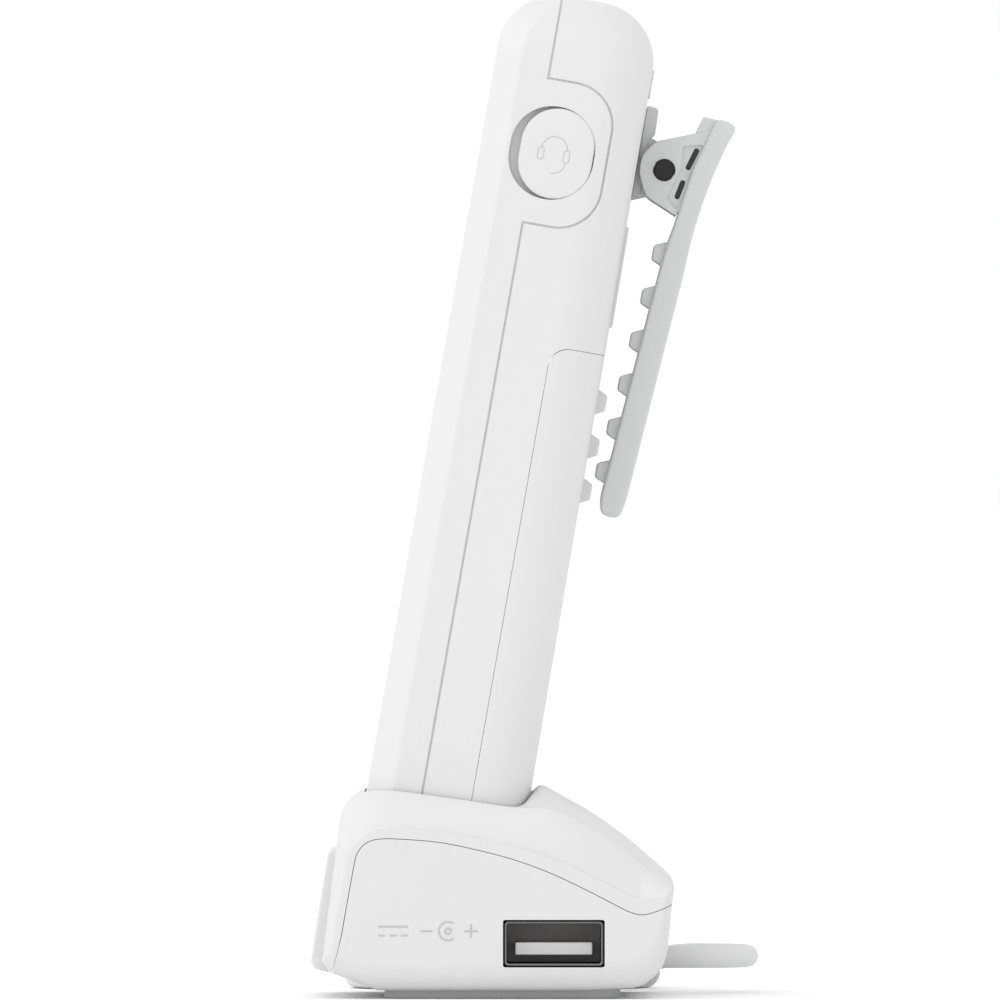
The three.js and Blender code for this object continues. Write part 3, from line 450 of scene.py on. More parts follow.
def brushed(name, colour, roughness, stretch=(30, 1, 1)):
    """Metal with fine drawn lines along one way."""
    material, tree, principled, place = shader(name)
    lines = noise(tree, place, 900, 3, stretch)
    tinted(tree, principled, lines, colour, 0.86, 1.1)
    textured(tree, principled, lines, (roughness - 0.08, roughness + 0.1), 0.01, 0.3)
    principled.inputs["Metallic"].default_value = 1.0
    return material


def glazed(name):
    """The display's window: near-black behind a clear gloss coat."""
    material, tree, principled, place = shader(name)
    slow = noise(tree, place, 25, 2)
    tone = two_tones(tree, slow, (0.010, 0.013, 0.016), (0.018, 0.023, 0.027))
    tree.links.new(tone, principled.inputs["Base Color"])
    fine = noise(tree, place, 2500, 1)
    tree.links.new(remap(tree, fine, 0.06, 0.1), principled.inputs["Roughness"])
    principled.inputs["Coat Weight"].default_value = 0.6
    principled.inputs["Coat Roughness"].default_value = 0.03
    return material


def boarded(name):
    """A circuit board: a green mask with paler runs in rows."""
    material, tree, principled, place = shader(name)
    brick = tree.nodes.new("ShaderNodeTexBrick")
    brick.inputs["Scale"].default_value = 220
    brick.inputs["Mortar Size"].default_value = 0.06
    brick.inputs["Color1"].default_value = (0.01, 0.13, 0.06, 1)
    brick.inputs["Color2"].default_value = (0.01, 0.1, 0.05, 1)
    brick.inputs["Mortar"].default_value = (0.04, 0.3, 0.15, 1)
    tree.links.new(place, brick.inputs["Vector"])
    tree.links.new(brick.outputs["Color"], principled.inputs["Base Color"])
    fine = noise(tree, place, 1500, 2)
    tree.links.new(remap(tree, fine, 0.3, 0.45), principled.inputs["Roughness"])
    return material


def make_finishes(colours):
    """Every finish, from the panel's colours and a few fixed ones."""
    shell, clip = np.array(colours.shell), np.array(colours.clip)
    black = (0.012, 0.012, 0.013)
    marks = {"legend": ("dark_legend", (0.05, 0.052, 0.055), 0.5),
             "mark": ("soft_mark", shell * 0.72, 0.5),
             "talk": ("green_legend", (0.03, 0.3, 0.09), 0.45),
             "end": ("red_legend", (0.42, 0.03, 0.03), 0.45),
             "tongue": ("port_tongue", shell * 0.95, 0.45)}
    for finish, values in marks.items():
        FINISHES[finish] = grained(*values, grain=7000, height=0.004)
    FINISHES.update(
        shell=grained("white_moulded_shell", shell, 0.5),
        # Painted shade: the cradle's colour is set a shade darker than the handset's shell, so that its lower
        # sides read as less lit.
        cradle=grained("cradle_moulding_painted_shade", colours.cradle, 0.48, grain=4600),
        panel=grained("satin_panel", shell * 0.98, 0.4, grain=7000, height=0.006),
        clip=grained("light_grey_clip", clip, 0.45, grain=4200, height=0.014),
        key=grained("grey_keys", colours.keys, 0.4, grain=6500, height=0.008),
        # This black is both the real black plastic parts and the painted shade of the clip's ear slots.
        black=grained("black_moulding_and_slot_shade", black, 0.42, grain=4000, drift=0.1),
        pin=grained("black_oxide_pin", black, 0.36, drift=0.15, metallic=0.4),
        rubber=grained("grey_rubber", (0.55, 0.55, 0.555), 0.8, grain=2600, height=0.03,
                       drift=0.05),
        jacket=grained("cord_jacket", colours.cord, 0.52, grain=3800, height=0.01, drift=0.03),
        steel=brushed("plated_steel", (0.42, 0.42, 0.43), 0.3),
        # Painted shade: a darker copy of the plated steel, for the receptacle whose inside lies in shade.
        dark_steel=brushed("shaded_steel", (0.2, 0.2, 0.2), 0.45),
        gold=brushed("contact_gold", (0.85, 0.6, 0.25), 0.26, stretch=(1, 8, 1)),
        glass=glazed("display_window"),
        board=boarded("circuit_board"),
    )


# ---------------------------------------------------------------- the handset's shells
def drawn_in(radius, past):
    """How far a round edge of this radius draws in at a depth past its start."""
    past = np.clip(past, 0, radius)
    return radius - np.sqrt(radius**2 - past**2)


def envelope(grow, steps=7):
    """The handset's outside as rings, moved out by `grow`: a six-cornered section (front edges
    cut by a band, back edges round) that draws in along quarter circles at foot and head."""
    foot, head = -grow, LENGTH + grow
    foot_r, side_r, head_r = max(0.5, FOOT_ROUND + grow), SIDE_ROUND + grow, HEAD_ROUND + grow
    bend = np.sin(np.linspace(0, math.pi / 2, 15))
    z = np.concatenate([foot + foot_r * (1 - np.sin(np.linspace(math.pi / 2, 0, 6))),
                        np.linspace(foot + foot_r, head - side_r, 4)[1:-1],
                        head - side_r * (1 - bend)])
    at_foot = drawn_in(foot_r, foot + foot_r - z)
    at_ends = at_foot + drawn_in(head_r, z - head + head_r)
    half = HALF + grow - at_foot - drawn_in(side_r, z - head + side_r)
    front = -FOOT_DEPTH / 2 - grow + at_ends
    back = depth_at(z) / 2 + grow - at_ends
    deep = back - front
    band = np.minimum(BAND + grow, 0.3 * deep)
    x = np.stack([band - half, half - band, half, half, -half, -half], -1)
    y = np.stack([front, front, front + band, back, back, front + band], -1)
    small = np.minimum(1.0, 0.2 * band)
    rear = np.minimum(BACK_ROUND + grow, 0.45 * deep)
    radii = np.stack([small, small, 1.6 * small, rear, rear, 1.6 * small], -1)
    ring = fillet(np.stack([x, y], -1), radii, steps)
    height = np.broadcast_to(z[:, None, None], (*ring.shape[:2], 1))
    return np.concatenate([ring, height], -1)


def handset_solid(name, grow=0.0, steps=7):
    """The handset's outside, grown or shrunk, as a closed solid."""
    return loft(name, envelope(grow, steps), stand)


def shell_solid(name):
    """The handset's outside wall."""
    return carve(handset_solid(name), [handset_solid("inside", -WALL)])


def cover_region(grow):
    """Everything behind the battery cover's side seams, with round top corners."""
    low, high, front = COVER_FOOT - grow, COVER_TOP + grow, COVER_SEAM - grow
    corners = [(front, low), (FAR, low), (FAR, high), (front, high)]
    return across("region", fillet(corners, [0.3, 1, 1, 2.7], 10), -FAR, FAR)


def front_region(grow):
    """The front housing's share of the handset, with its tab round the jack."""
    return carve(half_space(-FAR, SEAM + grow), [jack_tab(grow)], "UNION")


def jack_tab(grow):
    """The front housing's tab that runs back round the headset jack, on one side only."""
    start, rear = SEAM - 9, 6.0
    outline = rounded((start + rear) / 2, JACK_Z, rear - start + 2 * grow, 19.4 + 2 * grow,
                      JACK_ROUND + grow, 12)
    return across("tab", outline, HALF - 6, HALF + 2)


def jack_well(grow, from_x, to_x):
    """The recess round the jack's cover, longer towards the front for a fingernail."""
    outline = rounded(JACK_Y - 0.62, JACK_Z, JACK_SIZE[0] + 1.5 + 2 * grow,
                      JACK_SIZE[1] + 0.3 + 2 * grow, JACK_ROUND + grow, 14)
    return across("well", outline, from_x, to_x)


def half_space(y0, y1):
    """A block over the whole handset from y0 to y1."""
    return across("side", [(y0, -9), (y1, -9), (y1, 140), (y0, 140)], -FAR, FAR)


def key_places():
    """Name, centre (x, z) and size of each key, by rows up from the foot."""
    marks = "star 0 pound 7 8 9 4 5 6 1 2 3".split()
    places = {"key_" + mark: ((i % 3 - 1) * COLUMN, FIRST_ROW + i // 3 * ROW, *KEY_SIZE)
              for i, mark in enumerate(marks)}
    for side, x, call in (("left", 8.6 - HALF, "talk_key"), ("right", HALF - 8.6, "end_key")):
        places[call] = (x, NAV_Z - 5, *CALL_SIZE)
        places["soft_key_" + side] = (x, NAV_Z + 5.5, *SOFT_SIZE)
    return places


def front_housing():
    """The front housing: the wall in front of the seam with the jack's tab and a lip behind the
    seam's groove, less its sunk face, the jack's well and the openings."""
    piece = carve(shell_solid("front_housing_shell"), [front_region(0)], "INTERSECT")
    lip = carve(handset_solid("lip", -REVEAL), [handset_solid("room", -1.0)])
    carve(lip, [front_region(0.9)], "INTERSECT")
    limit = handset_solid("limit", -REVEAL)
    well = carve(jack_well(1.2, HALF - 3.9, HALF + 1), [limit], "INTERSECT")
    carve(piece, [lip, well], "UNION")
    corners = [(-FACE_HALF, FACE_FOOT), (FACE_HALF, FACE_FOOT), (FACE_HALF, FACE_HEAD),
               (-FACE_HALF, FACE_HEAD)]
    cutters = [through("face", fillet(corners, [4, 4, 8.5, 8.5], 12), -FAR, FACE_Y),
               jack_well(0, HALF - 1.6, HALF + 2),
               across("plug_hole", circle(JACK_Y, JACK_Z, 2), 12, HALF)]
    low, high = DISPLAY
    holes = [rounded(x, z, width + 2 * KEY_GAP, height + 2 * KEY_GAP, 2.2, 6)
             for x, z, width, height in key_places().values()]
    # For the ring, the window, the earpiece and the microphone.
    holes += [circle(0, NAV_Z, NAV_HOLE, 72),
              rounded(0, (low + high) / 2, 35.1, high - low + 0.1, 2),
              rounded(0, LENGTH - 7.5, 10, 1.4, 0.7), circle(0, 17.6, 0.6, 24)]
    cutters += [through("hole", hole, -FAR, 0) for hole in holes]
    carve(piece, cutters)
    return dress(piece, "handset", "shell", ["front_housing"])


def rear_housing():
    """The rear housing: the wall behind the seam, relieved for the front housing's lip, with the
    battery tray, less the battery cover, the inlay strip's seat and the openings."""
    piece = shell_solid("rear_housing_shell")
    front = SEAM + 1.2
    tray = across("tray", [(front, COVER_FOOT), (SEAM + 2, COVER_FOOT), (SEAM + 2, COVER_TOP),
                           (front, COVER_TOP)], -FAR, FAR)
    low, high = COVER_TOP + 0.1, COVER_TOP + 1.5
    shelf = across("shelf", [(front, low), (FAR, low), (FAR, high), (front, high)], -FAR, FAR)
    carve(tray, [shelf], "UNION")
    carve(tray, [handset_solid("limit", -0.5)], "INTERSECT")
    relief = carve(handset_solid("relief", -REVEAL), [front_region(1.0)], "INTERSECT")
    carve(piece, [tray], "UNION")
    cutters = [front_region(REVEAL), relief, jack_well(1.4, HALF - 4.2, HALF),
               cover_region(2 * HAIR), strip_solid("strip_seat", 0.12)]
    rocker_hole = rounded(ROCKER_Y, ROCKER_Z, 4, 15.8, 1.9)
    cutters.append(across("rocker_hole", rocker_hole, -FAR, 3.4 - HALF))
    cutters += [upright("slot", rounded(x, 0, 6, 4, 0.5), -1, WALL + 0.1) for x in (-8, 8)]
    carve(piece, cutters)
    return dress(piece, "handset", "shell", ["rear_housing"])


def strip_solid(name, grow):
    """The strip let into the back, standing 0.4 proud and following the back's taper."""
    low, high = COVER_TOP + 4 - grow, PIVOT_Z - 8.5 + grow
    ends = [(low, -0.6 - grow), (low, 0.4 + grow), (high, 0.4 + grow), (high, -0.6 - grow)]
    outline = [(float(depth_at(z)) / 2 + out, z) for z, out in ends]
    return across(name, outline, -11 - grow, 11 + grow)


def ridge(y, z, rise, foot, crest, radius, half):
    """A ridge across the handset that rises from y; `foot` and `crest` are half its height along
    the handset at its foot and crest, and its foot is sunk by 1."""
    side = [(y - math.copysign(1, rise), foot), (y, foot), (y + rise, crest)]
    corners = [(a, z - b) for a, b in side] + [(a, z + b) for a, b in side[::-1]]
    outline = fillet(corners, [0.01, 0.3, radius, radius, 0.3, 0.01])
    return across("ridge", outline, -half, half, ease=0.25)


def battery_cover():
    """The battery cover with its three grip ribs across the back."""
    piece = carve(shell_solid("battery_cover_shell"), [cover_region(0)], "INTERSECT")
    ribs = []
    for i in range(3):
        z = PIVOT_Z - 11.2 - (i + 3.5) * RIB_PITCH
        ribs.append(ridge(float(depth_at(z)) / 2, z, 1.3, 1.7, 1.05, 0.45, CLIP_HALF))
    carve(piece, ribs, "UNION")
    dress(piece, "handset", "shell", ["battery_cover"])


def speaker_grille():
    """A low grille on the back of the head: a rounded plate with seven slots through it."""
    z = LENGTH - 9.6
    y = float(depth_at(z)) / 2
    piece = through("speaker_grille_plate", rounded(0, z, 16, 3.8, 1.5, 8), y - 0.4, y + 0.24)
    slots = [through("slot", rounded(1.9 * i, z, 0.9, 2.6, 0.44, 5), y - 1, y + 1)
             for i in range(-3, 4)]
    carve(piece, slots)
    return dress(piece, "handset", "shell")


# ---------------------------------------------------------------- caps, keys and display
def cap(name, ring, levels, place):
    """A cap over one outline: `ring(inset, height)` gives the outline drawn in, at a height, and
    `levels` lists (height, inset) pairs from its lip to its crown."""
    return loft(name, np.stack([ring(inset, height) for height, inset in levels]), place)


def crown(top, radius, crown_height, reach, steps=6):
    """Levels of a cap's upper edge and crown: a quarter circle, then a flat parabola."""
    t = np.linspace(0, math.pi / 2, steps)
    edge = [(top - radius * (1 - math.sin(a)), radius * (1 - math.cos(a))) for a in t]
    s = np.linspace(0, 1, 5)[1:]
    dome = [(top + crown_height * (1 - (1 - v) ** 2), radius + reach * v) for v in s]
    return edge + dome


def key_cap(name, x, z, width, height):
    """A key: a lip behind the wall, straight sides, a round edge and a slight crown."""
    def ring(inset, out):
        o = rounded(x, z, width - 2 * inset, height - 2 * inset, max(2 - inset, 0.25), 5)
        return lay(o, FACE_Y - out, 1)

    lip = -KEY_BACK - KEY_LIP
    levels = [(lip, -KEY_LIP), (-KEY_BACK, -KEY_LIP), (0.001 - KEY_BACK, 0)]
    levels += crown(0.45, 0.35, 0.15, min(width, height) / 2 - 0.75)
    return cap(name + "_cap", ring, levels, stand)


def nav_ring():
    """The navigation ring: a cushioned section carried round the OK key."""
    back, rim, bore = FACE_Y + KEY_BACK, NAV_HOLE - KEY_GAP, OK_RADIUS + 0.3
    corners = [(rim + KEY_LIP, back + KEY_LIP), (rim + KEY_LIP, back), (rim, back),
               (rim, FACE_Y - 0.6), (bore, FACE_Y - 0.45), (bore, back + KEY_LIP)]
    section = fillet(corners[::-1], [0.05, 0.5, 0.9, 0.05, 0.05, 0.05], 6)
    t = np.linspace(0, 2 * math.pi, 96, endpoint=False)[:, None]
    r, y = section[:, 0], section[:, 1]
    grid = np.stack([r * np.cos(t), np.broadcast_to(y, (96, len(y))), NAV_Z + r * np.sin(t)], -1)
    piece = torus_like("nav_ring_cap", grid, stand)
    return dress(piece, "nav_ring", "key", ["nav_ring"])


def ok_key():
    """The round OK key inside the ring."""
    def ring(inset, out):
        return lay(circle(0, NAV_Z, OK_RADIUS - inset, 40), FACE_Y - out, 1)

    levels = [(-KEY_BACK - KEY_LIP, 0)] + crown(0.4, 0.35, 0.2, 3.3)
    piece = cap("ok_key_cap", ring, levels, stand)
    return dress(piece, "ok_key", "clip", ["ok_key"])


def legend(name, text, x, z, size, body, finish):
    """Generic numerals on a key, cut from a font and stood on the key's crown."""
    curve = bpy.data.curves.new(name, "FONT")
    curve.body = text
    curve.size = size
    curve.align_x = curve.align_y = "CENTER"
    curve.extrude = 0.06
    written = put(name, curve)
    mesh = settled(written)
    bpy.data.objects.remove(written)
    a, b, out = points_of(mesh).T
    co = np.column_stack([a + x, FACE_Y - LEGEND_OUT - out, b + z])
    mesh.vertices.foreach_set("co", stand(co).ravel())
    mesh.update()
    piece = put(name, mesh)
    return dress(piece, body, finish)


def stroke(name, path, radius, place, body, finish, closed=False):
    """A thin round bead along a path of points, used for pictograms."""
    grid = tube(path, radius, 8, closed=closed)
    piece = torus_like(name, grid, place) if closed else loft(name, grid, place)
    return dress(piece, body, finish)


def display():
    """The display's window: a rounded slab, a little behind the face."""
    low, high = DISPLAY
    outline = rounded(0, (low + high) / 2, 34.6, high - low - 0.4, 1.9)
    piece = through("display_window_pane", outline, FACE_Y + 0.1, FACE_Y + 1.5)
    return dress(piece, "handset", "glass", ["display_lens"], 0.25)


# ---------------------------------------------------------------- the headset jack's cover
def headset_cover():
    """The obround cover: straight sides, a round edge and a faint crown."""
    def ring(inset, out):
        o = rounded(JACK_Y, JACK_Z, JACK_SIZE[0] - 2 * inset, JACK_SIZE[1] - 2 * inset,
                    JACK_SIZE[0] / 2 - inset - 0.02, 14)
        return lay(o, out, 0)

    levels = [(HALF - 1.4, 0.25), (HALF - 1.2, 0)] + crown(HALF + 0.08, 0.4, 0.1, 4.3)
    piece = cap("headset_cover_cap", ring, levels, stand)
    dress(piece, "headset_cover", "shell", ["headset_cover"])
    x = HALF + 0.13
    y, z = JACK_Y - 0.35, JACK_Z
    t = np.linspace(math.pi * 0.05, math.pi * 0.95, 24)
    pod_y = 1.75
    band = [(x, y - pod_y * math.cos(a), z + 0.45 + 1.8 * math.sin(a)) for a in t]
    pods = [rounded(y + side * pod_y, z - 0.25, 0.8, 1.7, 0.38, 5) for side in (-1, 1)]
    boom = smooth([(y + pod_y, z - 1.1), (y + 1.55, z - 1.9), (y + 0.9, z - 2.5),
                   (y, z - 2.75)], 14)
    marks = [band] + [lay(mark, x - 0.01, 0) for mark in
                      (*(np.vstack([pod, pod[:1]]) for pod in pods), boom)]
    for i, path in enumerate(marks):
        stroke(f"headset_mark_{i}", path, 0.09, stand, "headset_cover", "mark")


# ---------------------------------------------------------------- the belt clip
def at_pin(*points):
    """Side-outline points given from the clip's pin."""
    return np.array(points, float) + [PIVOT_Y, PIVOT_Z]


def clip_arm():
    """The clip's arm: a side outline carried across, with teeth, two ears and a bore."""
    outer = smooth(at_pin((2.75, -44.5), (4.1, -26), (4.95, -14.6), (5.42, -7.1), (6.45, -0.6),
                          (7.75, 4.6), (8.5, 6.7)), 40)
    tip = smooth(at_pin((8.5, 6.7), (8.35, 7.4), (7.5, 7.85), (6.5, 8.0), (5.9, 7.75),
                        (5.55, 7.1)), 16)[1:-1]
    inner = smooth(at_pin((5.55, 7.1), (4.75, 4.2), (3.75, 0.5), (2.7, -6.5), (1.85, -12.2),
                          (0.62, -27.5), (-0.55, -42.2)), 40)
    toe = smooth(at_pin((-0.55, -42.2), (-0.75, -45.2), (-0.3, -47.1), (0.9, -47.5),
                        (2.2, -47.1), (2.75, -44.5)), 16)[1:-1]
    outline = np.concatenate([outer, tip, inner, toe])
    piece = across("belt_clip_arm_body", outline, -CLIP_HALF, CLIP_HALF, ease=0.45)
    parts = []
    for i in range(6):
        z = -11.2 - i * RIB_PITCH
        y = 1.85 + (z + 12.2) / 30.5 * 2.45
        parts.append(ridge(PIVOT_Y + y, PIVOT_Z + z, -1.5, 1.65, 0.95, 0.5, CLIP_HALF - 1))
    ear = smooth(at_pin((5.4, 6.45), (1.43, 4.87), (-1.09, 3.87), (-1.87, 3.43), (-3.1, 1.76),
                        (-3.35, 0), (-3.05, -1.49), (-2.1, -3.36), (-1.41, -4.11), (0.47, -4.94),
                        (2.6, -5.85)), 60)
    ear = np.concatenate([ear, at_pin((4.4, -2), (6.2, 5.5))])
    thumb = at_pin((3.2, 5.2), (6.1, 5.2), (6.3, 7.9), (4.0, 8.0))
    parts.append(across("thumb_edge", fillet(thumb, 0.3, 4), -9.2, 9.2, ease=0.25))
    parts += both_sides("ear", ear, 7.2, 9.4, 0.2)
    carve(piece, parts, "UNION")
    recess = fillet(at_pin((1.87, 3.6), (2.37, 0.98), (0.93, -3.6), (2.6, -5.2), (3.4, -2.2),
                           (4.9, 4.4)), [0.4, 2, 0.4, 0.3, 2, 0.4], 5)
    bore = across("bore", circle(PIVOT_Y, PIVOT_Z, PIN_RADIUS + 0.07, 36), -FAR, FAR)
    carve(piece, [bore, *both_sides("recess", recess, 9.1, 9.45)])
    dress(piece, "belt_clip", "clip", ["belt_clip_arm"])
    # Painted shade: no slot is cut; a flat black piece sits just proud of each ear's recess floor, where a slot
    # would show dark.
    for i, (y, z, long, lean) in enumerate(((3.5, 2.1, 3.2, 16.6), (2.55, -2.25, 2.7, 10.9))):
        slot = rounded(0, 0, 0.72, long, 0.34, 5)
        a = math.radians(lean)
        turn = np.array([[math.cos(a), -math.sin(a)], [math.sin(a), math.cos(a)]])
        outline = slot @ turn + [PIVOT_Y + y, PIVOT_Z + z]
        for side, ends in (("left", (-9.13, -8.2)), ("right", (8.2, 9.13))):
            dark = across(f"clip_slot_{i}_{side}", outline, *ends)
            dress(dark, "belt_clip", "black")


def clip_bracket():
    """The bracket on the back: a plate, an upright tab and two lugs that hold the pin."""
    seat = float(depth_at(PIVOT_Z)) / 2 + 0.05
    z = PIVOT_Z
    plate = fillet([(seat, z - 4.2), (seat + 1.1, z - 4.1), (seat + 1.1, z + 3.8),
                    (seat + 1.7, z + 4.6), (seat + 1.6, z + 8.1), (seat, z + 8.2)],
                   [0.2, 0.4, 0.3, 0.3, 0.5, 0.2])
    piece = across("clip_bracket_body", plate, -7.1, 7.1, ease=0.2)
    t = np.radians(np.linspace(-90, 90, 20))
    arc = np.stack([PIVOT_Y + 3.2 * np.cos(t), z + 3.2 * np.sin(t)], -1)
    lug = np.concatenate([[(seat, z - 4.7)], arc, [(seat, z + 4.4)]])
    carve(piece, both_sides("lug", lug, 4.7, 6.9, 0.15), "UNION")
    carve(piece, [across("bore", circle(PIVOT_Y, z, PIN_RADIUS + 0.05, 32), -FAR, FAR)])
    dress(piece, "handset", "clip", ["clip_bracket"])

    def ring(inset, x):
        return lay(circle(PIVOT_Y, PIVOT_Z, PIN_RADIUS - inset, 40), x, 0)

    ends = [(-9.8, 0.9), (-9.8, 0.25), (-9.55, 0), (9.55, 0), (9.8, 0.25), (9.8, 0.9)]
    pin = cap("clip_pin_bar", ring, ends, stand)
    dress(pin, "handset", "pin", ["clip_pin"])


def clip_spring():
    """The torsion spring: a wire helix x = c*t, (y, z) = r*(cos t, sin t), with two legs."""
    turns, radius, reach, wire = 5, 2.05, 4.1, 0.3
    t = np.linspace(0, 2 * math.pi * turns, turns * 24 + 1)
    coil = np.stack([-reach + 2 * reach * t / t[-1], PIVOT_Y - radius * np.cos(t),
                     PIVOT_Z + radius * np.sin(t)], -1)
    legs = np.linspace(3.4, 0.4, 8)
    first = [(-reach, PIVOT_Y - radius, PIVOT_Z - leg) for leg in legs]
    last = [(reach, PIVOT_Y - radius, PIVOT_Z + leg) for leg in legs[::-1]]
    path = np.concatenate([first, coil, last])
    piece = loft("clip_spring_wire", tube(path, wire, 10, aside=(1.0, 0.05, 0.03)), stand)
    return dress(piece, "handset", "steel", ["clip_spring"])


# ---------------------------------------------------------------- the cradle
def cradle_outlines():
    """Side outlines of the cradle (y, z), point for point alike: at its flank's face, at the
    rim beside the pocket, and along its middle."""
    def outline(bottom, rear, top, front, nose):
        return np.concatenate([smooth(bottom, BOTTOM_POINTS)[:-1], smooth(rear, REAR_POINTS),
                               smooth(top, TOP_POINTS)[1:], smooth(front, FRONT_POINTS)[1:],
                               nose])

    front = [(-25.2, 20.9), (-25.9, 15.5), (-26.65, 9.5), (-27.2, 5)]
    deck = [(-6.8, 26.6), (-15.4, 27.8), (-18.5, 28.1), (-21.1, 27.95), (-22.8, 27.15),
            (-24, 26), (-24.7, 24.8), (-25, 22.9), (-25.2, 20.9)]
    under = [(-19.7, 1.15), (13.2, 1.15)]
    rear = [(14.85, 1.45), (16.6, 2.2), (18.2, 3.65), (19.1, 5.4), (19.5, 7.8), (20, 12.6),
            (20.3, 14.9)]
    flank = outline(
        [(-24.4, 6.1), (-19.5, 5.3), (-2, 5.1), (12, 5.4)],
        [(14.2, 5.9), (15.9, 6.7), (17.1, 7.9), (18, 9.6), (18.6, 12), (19, 13.8)],
        [(19, 13.8), (17.7, 13.5), (16.2, 13.4), (14.6, 13.9), (11, 15.8), (8.1, 17.2),
         (4.7, 18.7), (1.9, 19.8), (-0.6, 20.5), (-5.3, 21.6), (-10, 22.6), (-14, 23.1),
         (-18, 23.3), (-20.6, 22.9), (-22, 22.1), (-22.8, 21.2), (-23.3, 19.9), (-23.6, 18.3)],
        [(-23.6, 18.3), (-24.5, 13.5), (-25.3, 9.5), (-25.9, 6.6)],
        [(-25.4, 6.0)],
    )
    slopes = ([(19.6, 15.8), (16.5, 17.9), (13.5, 20.1), (9.5, 22.7), (5.4, 24.8), (2.8, 25.6),
               (0.6, 25.7), (-1.6, 25.8)],
              [(19.9, 16.1), (17.2, 18.6), (14.1, 21.2), (9.8, 24.3), (5.5, 26.8), (2.6, 28.3),
               (1.2, 27.6), (-0.9, 25.9)])
    rim, middle = (outline(under, rear, [rear[-1], *slope, *deck], front, [(-26.2, 3.6)])
                   for slope in slopes)
    return flank, rim, middle


def cradle_solid(name):
    """The cradle's outside: flank, rim and middle outlines blended across its width. From flank
    to rim the way is a slight bow over the top and a quarter ellipse at foot, front and rear."""
    flank, rim, middle = cradle_outlines()
    centre = flank.mean(0)
    top = (np.abs(np.arange(len(flank)) - TOP_MIDDLE) < TOP_SHARE).astype(float)
    top = np.convolve(np.pad(top, 4, "edge"), np.ones(9) / 9, "valid")[:, None]
    inner, outer, soft = CRADLE_HALF - RIM_IN, CRADLE_HALF + 0.05, 0.5
    edge = [(outer - soft * (1 - math.cos(a)), 0, 0.035 * (1 - math.sin(a)))
            for a in np.linspace(0, math.pi / 2, 5)[:-1]]
    slope = [(outer - soft - (outer - soft - inner) * t, 1 - (1 - t) ** 1.35, 0)
             for t in 1 - np.cos(np.linspace(0, math.pi / 2, 12))]
    rows = []
    for x, over, drawn in edge + slope:
        turned = math.sqrt(max(0, 1 - ((x - inner) / (outer - inner)) ** 2))
        part = turned + (over - turned) * top
        rows.append((x, flank + (centre - flank) * drawn * top + (rim - flank) * part))
    for t in np.linspace(0, 1, 9)[1:]:
        rows.append((inner - MIDDLE_IN * t, rim + (middle - rim) * eased(t)))
    grid = np.stack([lay(o, x, 0) for x, o in [(-x, o) for x, o in rows] + rows[::-1]])
    return loft(name, grid, level)


def tub_region(grow):
    """Everything under the seam of the cradle's two shells."""
    seam = [(-25.9, 3.2), (-24.7, 8), (-23.9, 12.4), (-22.95, 17.6), (-22.45, 19.6),
            (-21.3, 21), (-19.4, 21.6), (-16, 21.55), (-11.1, 21.1), (-6.2, 20.1), (-1.3, 18.8),
            (3.6, 17), (8.5, 14.7), (11.8, 13), (14.2, 11.8), (16.1, 11.4), (18.3, 12), (20, 12.75)]
    seam = smooth(seam, 90)
    way = np.gradient(seam, axis=0)
    way /= np.linalg.norm(way, axis=1, keepdims=True)
    seam = seam + grow * np.stack([-way[:, 1], way[:, 0]], -1)
    ends = [(40, seam[-1, 1]), (40, -20), (seam[0, 0], -20)]
    return across("under_seam", np.concatenate([seam, ends]), -FAR, FAR, level)


def cradle_room():
    """The hollow inside both shells: wide under the crease, and narrower over it."""
    low = fillet([(-22, 5.2), (15, 5.2), (17, 8), (17.3, 11.5), (8, 14), (-21, 14)], 0.8, 3)
    floor = fillet([(-20.5, 2.6), (14, 2.6), (15.6, 6), (-21.5, 6)], 0.8, 3)
    high = fillet([(-21.5, 13), (17.5, 11), (17.6, 13.6), (9.6, 20.4), (4, 23.5), (-19, 24),
                   (-22.4, 20.5)], 0.8, 3)
    room = across("room", low, -27, 27, level)
    carve(room, [across("floor", floor, -25, 25, level), across("high", high, -22, 22, level)],
          "UNION")
    return room


def cradle_shells():
    """The cowl with its pocket and cup, and the tub under it with its openings."""
    cup = carve(handset_solid("cup", POCKET_GAP + CUP_WALL), [cradle_solid("limit")], "INTERSECT")
    cowl = carve(cradle_solid("base_cowl_shell"), [tub_region(HAIR), cradle_room()])
    carve(cowl, [cup], "UNION")
    carve(cowl, [handset_solid("pocket", POCKET_GAP)])
    holes = []
    for side in SIDES:
        low, high = cad_box("charge_pin_" + side)
        holes.append(upright("pin_hole", circle((low[0] + high[0]) / 2, 0, 1.4, 24), -8, 3))
    carve(cowl, holes)
    dress(cowl, "base", "cradle", ["base_cowl"])

    tub = carve(cradle_solid("base_tub_shell"), [tub_region(-2 * HAIR)], "INTERSECT")
    port = rounded(PORT_Y, PORT_Z, 13.7, 6.4, 0.3, 3)
    cord_hole = circle(CORD_X, CORD_Z, GROMMET_RADIUS + 0.05, 40)
    cutters = [cradle_room(), handset_solid("cup", POCKET_GAP + CUP_WALL + 0.1),
               across("port_hole", port, 10, 40, level),
               through("cord_hole", cord_hole, 10, 40, level)]
    for side in SIDES:
        low, high = cad_box("base_screw_" + side)
        cutters.append(upright("screw_hole", circle(*(low + high)[:2] / 2, 2.5, 32), -5, 5, level))
    carve(tub, cutters)
    dress(tub, "base", "cradle", ["base_tub"])


def front_panel():
    """The raised panel on the cradle's front, following the front's slope."""
    corners = [(-24.2, 19.9), (-26.4, 19.9), (-27.6, 12.4), (-28.75, 5), (-28.3, 4.1),
               (-26.4, 3.5), (-25.6, 4.6)]
    outline = fillet(corners, [0.35, 0.8, 6, 0.8, 0.7, 0.35, 0.35], 6)
    piece = across("front_panel_plate", outline, -23, 23, level, 0.3)
    dress(piece, "base", "panel", ["base_front_panel"])


